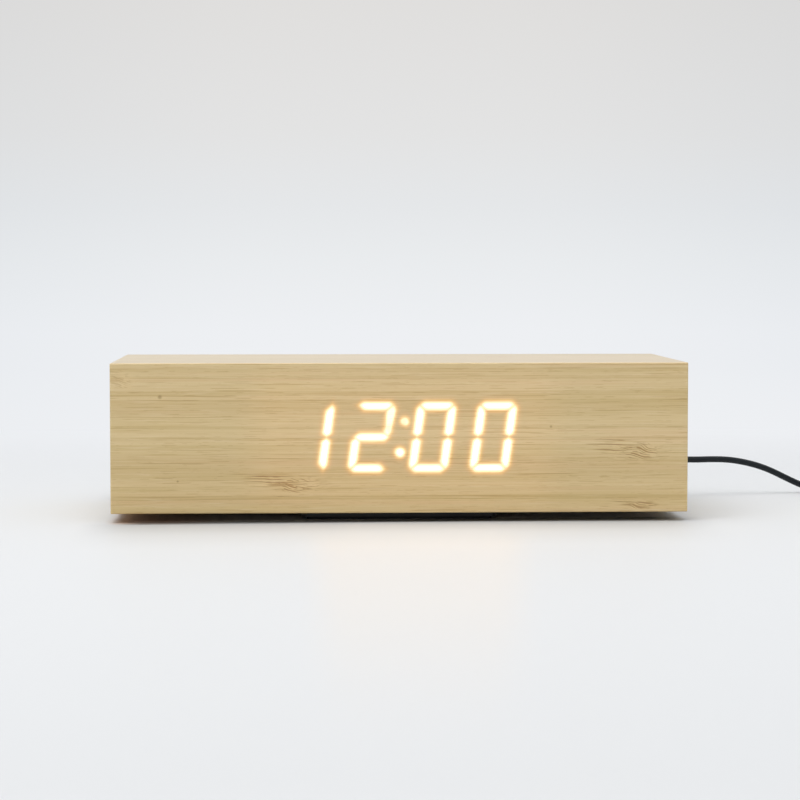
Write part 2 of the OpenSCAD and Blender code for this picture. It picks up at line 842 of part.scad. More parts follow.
module display_board() {
    color("darkgreen")
        difference() {
            translate([disp_x, 0, disp_z]) slab_y(refl_y1, dboard_y1) round_rect(dboard_w, dboard_h, pocket_r);
            display_screw_places()
                translate([0, 0, -eps]) cylinder(h = pcb_t + 2 * eps, r = small_shank_r + fit);
        }
}

module led_chip() {
    slab_y(refl_y1 - led_h, refl_y1) square(led_w, center = true);
}

module segment_leds() {
    color("gold") {
        digit_places()
            for (p = led_spots)
                translate([p[0], 0, p[1]]) led_chip();
        dot_places() led_chip();
    }
}

module driver_chip() {
    color("black")
        translate([disp_x - driver_dx, dboard_y1, disp_z]) rotate([-90, 0, 0]) outline_chip(driver_leads);
}

module display_screws() {
    color("silver") display_screw_places() pan_screw(small_shank_r, small_head_r, small_head_h, dscrew_l);
}

// Ribbon between the display board and the main board, and its two sockets
ribbon_plug = 6;          // height of a ribbon socket above its board
ribbon_plug_t = 5;        // thickness of a ribbon socket
ribbon_plug_side = 1;     // socket past the ribbon on each side
ribbon_bend = 2;
ribbon_x = ribbon_at[0];
ribbon_y0 = dboard_y1 + ribbon_plug;
ribbon_y1 = ribbon_at[1];
ribbon_top = disp_z - 2;
ribbon_fall = main_z1 + ribbon_plug;

module ribbon_sockets() {
    x0 = ribbon_x - ribbon_w / 2 - ribbon_plug_side;
    x1 = ribbon_x + ribbon_w / 2 + ribbon_plug_side;
    half_t = ribbon_plug_t / 2;
    color("black") {
        span([x0, dboard_y1, ribbon_top - half_t], [x1, ribbon_y0, ribbon_top + half_t]);
        span([x0, ribbon_y1 - half_t, main_z1], [x1, ribbon_y1 + half_t, ribbon_fall]);
    }
}

module ribbon_cable() {
    r_in = ribbon_bend;
    r_out = ribbon_bend + ribbon_t;
    bend_y = ribbon_y1 + ribbon_t / 2 - r_out;
    bend_z = ribbon_top + ribbon_t / 2 - r_out;
    color("lightgray")
        slab_x(ribbon_x - ribbon_w / 2, ribbon_x + ribbon_w / 2) {
            translate([ribbon_y0, ribbon_top - ribbon_t / 2]) square([bend_y - ribbon_y0, ribbon_t]);
            translate([ribbon_y1 - ribbon_t / 2, ribbon_fall]) square([ribbon_t, bend_z - ribbon_fall]);
            translate([bend_y, bend_z])
                intersection() {
                    difference() {
                        circle(r_out);
                        circle(r_in);
                    }
                    square(r_out + eps);
                }
        }
}

// ---- Main board -----------------------------------------------------------------------------

module main_board() {
    color("darkgreen")
        difference() {
            translate([main_x, 0, 0]) slab_z(main_z0, main_z1) round_rect(main_w, main_d, pcb_r);
            main_screw_places(main_z0 - eps) cylinder(h = pcb_t + 2 * eps, r = small_shank_r + fit);
        }
}

module board_standoffs() {
    color("goldenrod")
        main_screw_places(in_z0)
            difference() {
                cylinder(h = standoff_h, r = standoff_r, $fn = 6);
                translate([0, 0, -eps]) cylinder(h = standoff_h + 2 * eps, r = small_shank_r + fit);
            }
}

module board_screws() {
    color("silver")
        main_screw_places(main_z1)
            mirror([0, 0, 1])
                pan_screw(small_shank_r, small_head_r, small_head_h, pcb_t + standoff_h + standoff_bite);
}

module clock_chip() {
    color("black") translate(clock_at) outline_chip(clock_leads);
}

crystal_w = 4.7;
crystal_l = 11;
crystal_h = 3.5;

module crystal_can() {
    color("silver")
        translate(crystal_at) linear_extrude(crystal_h) round_rect(crystal_w, crystal_l, crystal_w / 2 - eps);
}

holder_wall = 1.5;
holder_floor = 1.2;
holder_rim = 0.4;
holder_slot = 6;
coin_step = 0.6;

module coin_cell_holder() {
    color("black")
        translate(coin_at)
            difference() {
                cylinder(h = holder_floor + coin_t + holder_rim, r = coin_d / 2 + holder_wall);
                translate([0, 0, holder_floor]) {
                    cylinder(h = coin_t + over, r = coin_d / 2 + snug);
                    translate([-holder_slot / 2, -coin_d, 0]) cube([holder_slot, coin_d, coin_t + over]);
                }
            }
}

module coin_cell() {
    color("silver")
        translate(coin_at + [0, 0, holder_floor]) {
            cylinder(h = coin_step, r = coin_d / 2 - coin_step);
            translate([0, 0, coin_step]) cylinder(h = coin_t - coin_step, r = coin_d / 2);
        }
}

buzzer_hole_r = 1.1;
buzzer_hole_h = 2;

module buzzer() {
    color("black")
        translate(buzzer_at)
            difference() {
                cylinder(h = buzzer_h, r = buzzer_d / 2);
                translate([0, 0, buzzer_h - buzzer_hole_h]) cylinder(h = over, r = buzzer_hole_r);
            }
}

module capacitors() {
    can_r = 3.15;
    can_h = 7.7;
    foot_side = 2 * can_r + 2 * snug;
    foot_h = 0.8;
    color("slategray")
        for (place = capacitor_at)
            translate(place) {
                cylinder(h = can_h, r = can_r);
                translate([-foot_side / 2, -foot_side / 2, 0]) cube([foot_side, foot_side, foot_h]);
            }
}

// Places of the sockets for the battery wires and for the wires from the controls
battery_socket = main_at(-14.7, 17);
panel_socket = main_at(12, 18.5);
mate_socket = [panel_socket[0], cboard_y0, cboard_z0 + cboard_h / 2];

module wire_sockets() {
    color("ivory") {
        translate(battery_socket) rotate([0, 0, 90]) wire_socket(socket_w, socket_d, socket_h);
        translate(panel_socket) wire_socket(socket_w, socket_d, socket_h);
        translate(mate_socket) rotate([90, 0, 0]) wire_socket(socket_w, socket_d, socket_h / 2);
    }
}

module battery_wires() {
    wire_r = 0.6;
    x0 = well_half_x + 0.6;
    x1 = battery_socket[0];
    y1 = battery_socket[1];
    z1 = main_z1 + socket_h;
    color("firebrick")
        for (s = [-1, 1])
            sweep([
                [x0, s, wire_hole_z], [x0 + 2, s, wire_hole_z], [x0 + 4, s + 1, wire_hole_z + 1.5],
                [x0 + 5.2, s + 3, wire_hole_z + 5], [x0 + 5.8, s + 6, z1 - 1], [x0 + 7.5, s + 9, z1 + 3],
                [x0 + 11, s + 12.5, z1 + 4.5], [x1 - 2, y1 + 1.5 * s - 1.5, z1 + 4], [x1, y1 + 1.5 * s, z1 + 2],
                [x1, y1 + 1.5 * s, z1 - 0.9],
            ], wire_r, 8, [1, -1, 0.5]);
}

module control_wires() {
    wire_r = 0.5;
    wires = 4;
    pitch = 1.5;
    x = panel_socket[0];
    y0 = cboard_y0 - socket_h / 2;
    y1 = panel_socket[1];
    z0 = mate_socket[2];
    z1 = main_z1 + socket_h;
    color("gray")
        for (i = [0 : wires - 1])
            translate([x + (i - (wires - 1) / 2) * pitch, 0, 0])
                sweep([
                    [0, y0 + 0.9, z0], [0, y0 - 1.2, z0], [0, y0 - 2.6, z0 + 1.4], [0, y0 - 3.6, z1 + 0.6],
                    [0, y0 - 5, z1 + 2.6], [0, (y0 - 6.2 + y1) / 2, z1 + 3.2], [0, y1 + 0.3, z1 + 2],
                    [0, y1, z1 - 0.9],
                ], wire_r, 8, [1, 0, 0]);
}

// ---- Controls -------------------------------------------------------------------------------

// Places of the two screws that hold the panel, pointing at the rear
module panel_screw_places() {
    for (x = [-1, 1])
        translate([panel_x + x * panel_screw_dx, flange_y0, upper_z]) rotate([-90, 0, 0]) children();
}

// Places of the two screws that hold the control board, pointing at the rear
module boss_places(y) {
    for (x = [-1, 1])
        translate([panel_x + x * boss_dx, y, upper_z]) rotate([-90, 0, 0]) children();
}

boss_screw_l = pcb_t + boss_l + flange_t / 2;

module control_panel() {
    flange_z = flange_z0 + flange_h / 2;
    slot_w = slider_w + slider_travel + 2 * key_gap;
    slot_h = slider_h + 2 * key_gap;
    color("dimgray")
        difference() {
            union() {
                translate([panel_x, 0, flange_z]) slab_y(flange_y0, in_d) round_rect(flange_w, flange_h, flange_r);
                translate([panel_x, 0, nose_z])
                    slab_y(flange_y0, nose_y1) round_rect(nose_w, nose_h, nose_h / 2 - eps);
                boss_places(cboard_y1) cylinder(h = boss_l + eps, r = boss_r);
            }
            translate([panel_x, 0, nose_z])
                slab_y(flange_y0 - eps, nose_in_y)
                    round_rect(nose_w - 2 * nose_wall, nose_h - 2 * nose_wall, nose_h / 2 - nose_wall - eps);
            for (x = key_x) rod_y(x, nose_z, nose_in_y - eps, nose_y1 + eps, key_d / 2 + key_gap);
            translate([slider_x, 0, nose_z])
                slab_y(nose_in_y - eps, nose_y1 + eps) square([slot_w, slot_h], center = true);
            rod_y(jack_x, nose_z, nose_in_y - eps, nose_y1 + eps, plug_hole_r);
            panel_screw_places()
                translate([0, 0, -eps]) cylinder(h = flange_t + 2 * eps, r = small_shank_r + fit);
            boss_places(cboard_y1 - eps) cylinder(h = boss_screw_l - pcb_t + snug, r = small_shank_r + fit);
        }
}

module panel_screws() {
    color("silver")
        panel_screw_places() pan_screw(small_shank_r, small_head_r, small_head_h, flange_t + board_t * wood_bite);
}

module control_board() {
    color("darkgreen")
        difference() {
            translate([panel_x, 0, cboard_z0 + cboard_h / 2])
                slab_y(cboard_y0, cboard_y1) round_rect(cboard_w, cboard_h, pcb_r);
            boss_places(cboard_y0 - eps) cylinder(h = pcb_t + 2 * eps, r = small_shank_r + fit);
        }
}

module control_board_screws() {
    color("silver") boss_places(cboard_y0) pan_screw(small_shank_r, small_head_r, small_head_h, boss_screw_l);
}

module tact_switches() {
    color("black")
        for (x = key_x)
            difference() {
                translate([x, 0, nose_z])
                    slab_y(cboard_y1, cboard_y1 + tact_h) square([tact_side, tact_side], center = true);
                rod_y(x, nose_z, plunger_y0 - key_travel - 2 * snug, cboard_y1 + tact_h + eps,
                      plunger_r + snug);
            }
}

// Button number i: a face in the panel, a rim that keeps it in, and a stem that meets the plunger
module key_cap(i) {
    rim_y1 = nose_in_y - key_rim_gap;
    translate([key_x[i], 0, nose_z]) {
        rod_y(0, 0, plunger_y1, rim_y1 - key_rim_t, key_stem_r);
        rod_y(0, 0, rim_y1 - key_rim_t, rim_y1, key_d / 2 + key_rim);
        rod_y(0, 0, rim_y1, key_y1 - key_edge, key_d / 2);
        translate([0, key_y1 - key_edge, 0]) rotate([-90, 0, 0])
            cylinder(h = key_edge, r1 = key_d / 2, r2 = key_d / 2 - key_edge);
    }
}

// Sunk bar of a mark on a button's face
module mark_bar(i, w, h) {
    translate([key_x[i], 0, nose_z])
        slab_y(key_y1 - mark_depth, key_y1 + eps) square([w, h], center = true);
}

module set_button() {
    color("dimgray")
        difference() {
            key_cap(0);
            rod_y(key_x[0], nose_z, key_y1 - mark_depth, key_y1 + eps, mark_l / 4);
        }
}

module up_button() {
    color("dimgray")
        difference() {
            key_cap(1);
            mark_bar(1, mark_l, mark_w);
            mark_bar(1, mark_w, mark_l);
        }
}

module down_button() {
    color("dimgray")
        difference() {
            key_cap(2);
            mark_bar(2, mark_l, mark_w);
        }
}

module plunger(i) {
    color("ivory") rod_y(key_x[i], nose_z, plunger_y0, plunger_y1, plunger_r);
}
module set_plunger() plunger(0);
module up_plunger() plunger(1);
module down_plunger() plunger(2);

module slide_switch() {
    color("silver")
        difference() {
            translate([slider_x, 0, nose_z])
                slab_y(cboard_y1, cboard_y1 + switch_d) square([switch_w, switch_h], center = true);
            translate([slider_x, 0, nose_z])
                slab_y(cboard_y1 + switch_floor, cboard_y1 + switch_d + eps)
                    square([stem_w + slider_travel + 2 * key_gap, stem_h + 2 * key_gap], center = true);
        }
}

module alarm_slider() {
    head_y0 = nose_in_y - slider_head;
    color("whitesmoke")
        translate([slider_x - slider_travel / 2, 0, nose_z]) {
            slab_y(cboard_y1 + stem_floor, head_y0) square([stem_w, stem_h], center = true);
            slab_y(head_y0, key_y1) square([slider_w, slider_h], center = true);
        }
}

module dc_jack() {
    pin_y1 = jack_y1 - jack_pin_short;
    color("black") {
        difference() {
            translate([jack_x, 0, nose_z]) slab_y(cboard_y1, jack_y1) square([jack_w, jack_h], center = true);
            rod_y(jack_x, nose_z, barrel_y0 - barrel_end_gap, jack_y1 + eps, jack_bore_r);
        }
        rod_y(jack_x, nose_z, barrel_y0 - barrel_end_gap, pin_y1, jack_pin_r);
    }
}

// ---- Lead -----------------------------------------------------------------------------------

module dc_plug() {
    color("black")
        intersection() {
            translate([jack_x, 0, nose_z])
                slab_y(plug_y0, plug_y1) round_rect(2 * plug_half, plug_side, plug_r);
            translate([jack_x, plug_y, 0])
                slab_z(nose_z - plug_side, nose_z + plug_side)
                    round_rect(2 * plug_half, plug_depth, plug_r);
        }
}

module plug_barrel() {
    color("silver")
        difference() {
            rod_y(jack_x, nose_z, barrel_y0, plug_y0, barrel_d / 2);
            rod_y(jack_x, nose_z, barrel_y0 - eps, plug_y0 - barrel_root, barrel_bore_r);
        }
}

module plug_relief() {
    color("black")
        translate([relief_x0, plug_y, nose_z]) rotate([0, 90, 0])
            cylinder(h = relief_x1 - relief_x0, r1 = relief_r0, r2 = relief_r1);
}

module cord() {
    color("black") sweep(cord_route, cord_r, cord_sides);
}

module cord_tail() {
    color("black") sweep(tail_route, cord_r, cord_sides);
}

// Outline of the coil's bundle of turns, at its radius
module bundle(grow) {
    translate([coil_d / 2, bundle_h / 2]) round_rect(bundle_w + 2 * grow, bundle_h + 2 * grow, cord_r + grow);
}

module cord_coil() {
    color("black") translate([coil_x, coil_y, coil_z0]) rotate_extrude($fn = 64) bundle(0);
}

module cord_tie() {
    tie_turn = tie_w / (coil_d / 2) * 180 / PI;
    color("darkslategray")
        translate([coil_x, coil_y, coil_z0]) rotate([0, 0, tie_angle])
            rotate_extrude(angle = tie_turn, $fn = 64)
                difference() {
                    bundle(tie_t);
                    bundle(0);
                }
}

module usb_grip() {
    y1 = usb_y1 - usb_relief_l;
    y0 = y1 - usb_grip_l;
    z = usb_grip_h / 2;
    color("black") {
        translate([usb_x, usb_y1, z]) rotate([90, 0, 0])
            cylinder(h = usb_relief_l + eps, r1 = relief_r1, r2 = relief_r0);
        intersection() {
            translate([usb_x, 0, z]) slab_y(y0, y1) round_rect(usb_grip_w, usb_grip_h, usb_grip_r);
            translate([usb_x, (y0 + y1) / 2, 0])
                slab_z(0, usb_grip_h) round_rect(usb_grip_w, usb_grip_l, usb_grip_r);
        }
    }
}

module usb_shell() {
    y1 = usb_y1 - usb_relief_l - usb_grip_l;
    y0 = y1 - usb_shell_l;
    color("silver")
        translate([usb_x, 0, usb_grip_h / 2]) {
            difference() {
                slab_y(y0, y1) square([usb_shell_w, usb_shell_h], center = true);
                slab_y(y0 - eps, y1 - usb_root)
                    square([usb_shell_w - 2 * usb_shell_t, usb_shell_h - 2 * usb_shell_t], center = true);
            }
            translate([0, 0, usb_shell_h / 2 - usb_shell_t - usb_tongue_h / 2])
                slab_y(y0 + usb_tongue_short, y1 - usb_root)
                    square([usb_shell_w - 2 * usb_shell_t, usb_tongue_h], center = true);
        }
}

front_board();
top_board();
rear_board();
left_end_board();
right_end_board();
bottom_board();
corner_blocks();
bottom_screws();
base_housing();
base_screws();
rubber_feet();
battery_door();
battery_cells();
battery_springs();
contact_plates();
display_reflector();
diffuser_film();
display_board();
segment_leds();
driver_chip();
display_screws();
ribbon_sockets();
ribbon_cable();
main_board();
board_standoffs();
board_screws();
clock_chip();
crystal_can();
coin_cell_holder();
coin_cell();
buzzer();
capacitors();
wire_sockets();
battery_wires();
control_wires();
control_panel();
panel_screws();
control_board();
control_board_screws();
tact_switches();
set_button();
up_button();
down_button();
set_plunger();
up_plunger();
down_plunger();
slide_switch();
alarm_slider();
dc_jack();
dc_plug();
plug_barrel();
plug_relief();
cord();
cord_coil();
cord_tie();
cord_tail();
usb_grip();
usb_shell();
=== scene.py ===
"""A bamboo table clock: case, display, base, controls, electronics and power lead.

Lengths in dataclass fields are millimetres unless a name says otherwise; meshes are metres, in the
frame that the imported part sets.
"""

from __future__ import annotations

import logging
import math
from dataclasses import dataclass
from enum import Enum
from typing import Callable, Iterable, Sequence, Union

import bmesh
import bpy
from mathutils import Matrix, Vector


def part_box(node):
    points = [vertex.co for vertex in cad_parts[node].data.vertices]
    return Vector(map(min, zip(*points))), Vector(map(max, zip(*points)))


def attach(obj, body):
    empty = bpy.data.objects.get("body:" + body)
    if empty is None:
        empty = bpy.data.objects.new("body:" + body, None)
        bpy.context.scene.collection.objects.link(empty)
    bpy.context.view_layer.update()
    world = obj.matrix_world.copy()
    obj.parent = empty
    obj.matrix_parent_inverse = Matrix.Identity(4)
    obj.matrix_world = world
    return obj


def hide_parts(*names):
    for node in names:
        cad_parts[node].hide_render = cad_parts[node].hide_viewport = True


LOG = logging.getLogger("clock")
MM = 0.001
Colour = tuple[float, float, float]
Point = tuple[float, float, float]
Span = tuple[float, float]


# ---- Shader graphs ---------------------------------------------------------------------------


class Wire:
    """A value on its way through a shader graph, which can be summed and multiplied."""

    def __init__(self, graph: Graph, socket: bpy.types.NodeSocket) -> None:
        """Takes the graph that the value runs in and the socket that it leaves."""
        self.graph, self.socket = graph, socket

    def math(self, operation: str, *others: Value) -> Wire:
        """Returns the result of a Math node on this and up to two other values."""
        return self.graph.get("Math", (self, *others), operation=operation)

    def __add__(self, other: Value) -> Wire:
        """Returns this plus other."""
        return self.math("ADD", other)

    def __sub__(self, other: Value) -> Wire:
        """Returns this minus other."""
        return self.math("SUBTRACT", other)

    def __mul__(self, other: Value) -> Wire:
        """Returns this times other."""
        return self.math("MULTIPLY", other)

    def __truediv__(self, other: Value) -> Wire:
        """Returns this divided by other."""
        return self.math("DIVIDE", other)

    def __neg__(self) -> Wire:
        """Returns minus this."""
        return self * -1.0

    def __abs__(self) -> Wire:
        """Returns this without its sign."""
        return self.math("ABSOLUTE")

    def onto(self, base: Value, share: Value) -> Wire:
        """Returns base plus share times this."""
        return self.math("MULTIPLY_ADD", share, base)

    def fade(self, start: Value, end: Value, low: Value = 0.0, high: Value = 1.0) -> Wire:
        """Returns a smooth change from low to high as this goes from start to end."""
        return self.graph.get("MapRange", (self, start, end, low, high),
                              interpolation_type="SMOOTHSTEP")

    def split(self) -> tuple[Wire, ...]:
        """Returns this vector's X, Y and Z."""
        node = self.graph.add("SeparateXYZ", (self,))
        return tuple(Wire(self.graph, socket) for socket in node.outputs)

    def vector(self, operation: str, *others: Value, output: str = "Vector") -> Wire:
        """Returns an output of a Vector Math node on this and other vectors."""
        return self.graph.get("VectorMath", (self, *others), output, operation=operation)

    def stretch(self, scale: Value, move: Value = (0.0, 0.0, 0.0)) -> Wire:
        """Returns this vector times scale plus move, part by part."""
        return self.vector("MULTIPLY_ADD", scale, move)

    def length(self) -> Wire:
        """Returns this vector's length."""
        return self.vector("LENGTH", output="Value")

    def distance(self, place: Value) -> Wire:
        """Returns how far this place is from another."""
        return self.vector("DISTANCE", place, output="Value")


Value = Union[float, Sequence[float], Wire]
Wires = dict[str, Wire]


class Graph:
    """Short calls for the shader nodes that the finishes are made of."""

    def __init__(self, tree: bpy.types.NodeTree) -> None:
        """Takes the node tree that the calls add to."""
        self.tree = tree

    def add(self, kind: str, values: Sequence[Value] | dict[int | str, Value] = (),
            **settings: object) -> bpy.types.Node:
        """Adds a node.

        Args:
            kind: The node's type name without its "ShaderNode" start.
            values: What its sockets get, in order or by number or name.
            **settings: Properties to set on the node.

        Returns:
            The node.
        """
        node = self.tree.nodes.new("ShaderNode" + kind)
        for name, value in settings.items():
            setattr(node, name, value)
        for key, value in values.items() if isinstance(values, dict) else enumerate(values):
            self.feed(node.inputs[key], value)
        return node

    def get(self, kind: str, values: Sequence[Value] | dict[int | str, Value] = (),
            output: int | str = 0, **settings: object) -> Wire:
        """Adds a node as add does and returns one of its outputs."""
        return Wire(self, self.add(kind, values, **settings).outputs[output])

    def feed(self, socket: bpy.types.NodeSocket, value: Value) -> None:
        """Links a socket to a wire, or sets it.

        Args:
            socket: The socket to feed.
            value: A wire, or the number, vector or colour to set.
        """
        if isinstance(value, Wire):
            self.tree.links.new(value.socket, socket)
        elif hasattr(socket.default_value, "__len__") and not hasattr(value, "__len__"):
            socket.default_value = (value,) * 3
        elif hasattr(value, "__len__") and len(socket.default_value) == 4 and len(value) == 3:
            socket.default_value = (*value, 1.0)
        else:
            socket.default_value = value

    def chain(self, operation: str, values: Sequence[Wire], *softness: float) -> Wire:
        """Runs values through Math nodes: the first two, then their result and the next.

        Args:
            operation: The nodes' operation.
            values: The values, in order.
            *softness: How soft the change is in a soft operation.

        Returns:
            The last node's result.
        """
        result, *others = values
        for value in others:
            result = result.math(operation, value, *softness)
        return result

    def join(self, x: Value, y: Value, z: Value = 0.0) -> Wire:
        """Returns the vector of three values."""
        return self.get("CombineXYZ", (x, y, z))

    def noise(self, vector: Wire, scale: Value = 1.0, detail: float = 2.0,
              roughness: float = 0.5) -> Wire:
        """Returns the factor of a Noise texture at vector."""
        return self.get("TexNoise", {"Vector": vector, "Scale": scale, "Detail": detail,
                                     "Roughness": roughness}, "Fac")

    def ramp(self, value: Wire, stops: Iterable[tuple[float, Colour]],
             interpolation: str = "LINEAR") -> Wire:
        """Adds a colour ramp.

        Args:
            value: The place on it.
            stops: Places on it and the colours there.
            interpolation: How the colour changes between stops.

        Returns:
            The colour at value.
        """
        node = self.add("ValToRGB", (value,))
        node.color_ramp.interpolation = interpolation
        keys = node.color_ramp.elements
        for index, (place, colour) in enumerate(stops):
            key = keys[index] if index < 2 else keys.new(place)
            key.position, key.color = place, (*colour, 1.0)
        return Wire(self, node.outputs[0])

    def blend(self, share: Value, first: Value, second: Value, how: str = "MIX") -> Wire:
        """Returns two colours mixed by share, in the way that how names."""
        return self.get("Mix", {0: share, 6: first, 7: second}, 2, data_type="RGBA",
                        blend_type=how, clamp_factor=True)

    def between(self, share: Value, first: Value, second: Value) -> Wire:
        """Returns two numbers mixed by share."""
        return self.get("Mix", {0: share, 2: first, 3: second}, data_type="FLOAT",
                        clamp_factor=True)

    def shade(self, colour: Value, share: Value, tone: Value) -> Wire:
        """Returns colour times tone, by share."""
        return self.blend(share, colour, tone, "MULTIPLY")

    def bump(self, height: Wire, depth: float, strength: float) -> Wire:
        """Returns the normal of a Bump node, its depth in millimetres."""
        return self.get("Bump", {"Strength": strength, "Distance": depth * MM, "Height": height})

    def place(self, turn: Matrix | None = None) -> Wire:
        """Gives the surface's own coordinates in millimetres.

        Args:
            turn: A turn for them, if there is one.

        Returns:
            The coordinates.
        """
        values = {"Scale": (1 / MM,) * 3, "Vector": self.get("TexCoord", output="Object")}
        if turn is not None:
            values["Rotation"] = turn.to_euler("XYZ")
        return self.get("Mapping", values)


class Kind(Enum):
    """What a socket of an effect carries."""

    NUMBER = "NodeSocketFloat"
    VECTOR = "NodeSocketVector"
    COLOUR = "NodeSocketColor"


class Effect:
    """A shader node group that several finishes place with their own values."""

    title: str = ""
    takes: dict[str, tuple[Kind, Value]] = {}
    gives: dict[str, Kind] = {}

    def build(self, graph: Graph, given: Wires) -> Iterable[Wire]:
        """Builds the group's nodes and returns what it gives, in the order of gives.

        Args:
            graph: The group's graph.
            given: Its inputs by name.

        Returns:
            Its outputs, in the order of gives.
        """
        raise NotImplementedError

    def tree(self) -> bpy.types.NodeTree:
        """Builds the group the first time that it is asked for.

        Returns:
            The group's node tree.
        """
        made = bpy.data.node_groups.get(self.title)
        if made is None:
            made = bpy.data.node_groups.new(self.title, "ShaderNodeTree")
            for name, (kind, value) in self.takes.items():
                socket = made.interface.new_socket(name, in_out="INPUT", socket_type=kind.value)
                socket.default_value = value
            for name, kind in self.gives.items():
                made.interface.new_socket(name, in_out="OUTPUT", socket_type=kind.value)
            graph = Graph(made)
            start, end = made.nodes.new("NodeGroupInput"), made.nodes.new("NodeGroupOutput")
            given = {s.name: Wire(graph, s) for s in start.outputs if s.name}
            for name, wire in zip(self.gives, self.build(graph, given)):
                graph.feed(end.inputs[name], wire)
        return made

    def use(self, graph: Graph, **values: Value) -> Wires:
        """Places the group in a material.

        Args:
            graph: The material's graph.
            **values: Values or wires for the group's inputs.

        Returns:
            The group's outputs by name.
        """
        node = graph.add("Group", node_tree=self.tree())
        for name, value in values.items():
            graph.feed(node.inputs[name], value)
        return {socket.name: Wire(graph, socket) for socket in node.outputs}


@dataclass(frozen=True)
class Hairs:
    """Thin broken lines along X, one at a random place in each row across Y.

    A row is gap high, its lines are about reach long, and more of it is bare the higher bare is.
    Half a line's thickness, as a share of gap, is thick times least or up to 1 more.
    """

    gap: float
    reach: float
    bare: float
    thick: float
    least: float = 0.47
    # The shares of the row between which a line's middle can be
    room: Span = (0.25, 0.75)
    # The share of a line's thickness that is solid, and how soon its ends fade
    solid: float = 0.3
    ends: float = 0.10
    # How far apart in the noise two rows are
    stride: float = 7.31

    def draw(self, graph: Graph, x: Wire, y: Wire, seed: Wire) -> Wire:
        """Returns 1 on a line and 0 off it.

        Args:
            graph: The graph to draw in.
            x: The place along the lines.
            y: The place across them.
            seed: A number that picks the lines.

        Returns:
            The lines.
        """
        rows = y / self.gap
        row = rows.math("FLOOR")
        chance = graph.get("TexWhiteNoise", {"W": row + seed}, "Color", noise_dimensions="1D")
        middle, half, _ = chance.split()
        low, high = self.room
        middle = middle.onto(low, high - low)
        half = half.onto(self.thick * self.least, self.thick)
        line = abs(rows.math("FRACT") - middle).fade(half * self.solid, half, 1.0, 0.0)
        broken = graph.noise(graph.join(x / self.reach, row * self.stride, seed), detail=1.0)
        return line * broken.fade(self.bare, self.bare + self.ends)


class BambooGrain(Effect):
    """Glued bamboo strips: their tones, long fibres and short dark bundles."""

    title = "Bamboo grain"
    takes = {
        "Vector": (Kind.VECTOR, (0.0, 0.0, 0.0)),
        "Strip": (Kind.NUMBER, 7.0),
        "Seed": (Kind.NUMBER, 0.0),
    }
    gives = dict.fromkeys(
        ("Strip tone", "Band", "Fibre", "Bundle", "Pale", "Seam", "Height"), Kind.NUMBER
    )
    long = Hairs(1.9, 34.0, 0.51, 0.09)
    short = Hairs(0.8, 10.0, 0.53, 0.16)
    tick = Hairs(0.5, 4.0, 0.58, 0.20)
    short_share = 0.8
    tick_share = 0.6
    # How far apart in the noise two boards are, two layers of one, and the kinds of bundle
    board_step = 37.0
    layer_step = 11.0
    short_step = 53.0
    tick_step = 91.0
    # Layers of bundles in a millimetre of depth
    layers = 0.5
    # How far strips wander across the board, and the scale of that across and along
    drift = 2.6
    drift_scale = 0.09
    drift_long = 0.012
    # How far bundles wander
    waver = 2.0
    # Half a seam, in strips
    seam = 0.022
    # Scales of the noises along and across the grain, and their roughness
    band = (0.006, 0.20)
    fibre = (0.016, 3.4)
    wave = (0.014, 0.10)
    pale = (0.05, 1.4)
    fine = (0.25, 5.5)
    rough = 0.58
    # The noise at which pale streaks start and are full
    streak = (0.54, 0.72)
    # The finest fibres' share of the height
    fine_share = 0.35

    def build(self, graph: Graph, given: Wires) -> Iterable[Wire]:
        """Builds the group: X runs along the grain, Y across the strips, Z into the board.

        Args:
            graph: The group's graph.
            given: Its inputs by name.

        Returns:
            Its outputs, in the order of gives.
        """
        x, y, z = given["Vector"].split()
        seed = given["Seed"] * self.board_step
        drift = graph.noise(graph.join(x * self.drift_long, y, seed), self.drift_scale, detail=1.0)
        y = drift.onto(y, self.drift)
        lines = graph.join(x, y, z + seed)

        row = {"W": y / given["Strip"] + seed}
        tone = graph.get("TexVoronoi", row, "Color", voronoi_dimensions="1D").split()[0]
        edge = graph.get("TexVoronoi", row, "Distance", voronoi_dimensions="1D",
                         feature="DISTANCE_TO_EDGE")
        seam = edge.fade(0.0, self.seam, 1.0, 0.0)

        def drawn(scale: Span, detail: float = 2.0, start: Point = (0.0, 0.0, 0.0)) -> Wire:
            """Returns noise drawn out along the grain, by its scale along and across."""
            stretched = lines.stretch((scale[0], scale[1], scale[1]), start)
            return graph.noise(stretched, detail=detail, roughness=self.rough)

        band = drawn(self.band, 3.0)
        fibre = drawn(self.fibre, 3.0)
        wavy = drawn(self.wave, start=(3.0, 7.0, 4.0)).onto(y, self.waver)
        first = seed + (z * self.layers).math("ROUND") * self.layer_step
        long = self.long.draw(graph, x, wavy, first)
        short = self.short.draw(graph, x, wavy, first + self.short_step)
        tick = self.tick.draw(graph, x, wavy, first + self.tick_step)
        bundle = graph.chain("MAXIMUM", [long, short * self.short_share, tick * self.tick_share])
        pale = drawn(self.pale, start=(1.0, 6.0, 7.0)).fade(*self.streak)
        height = graph.between(self.fine_share, fibre, drawn(self.fine)) - bundle
        return tone, band, fibre, bundle, pale, seam, height


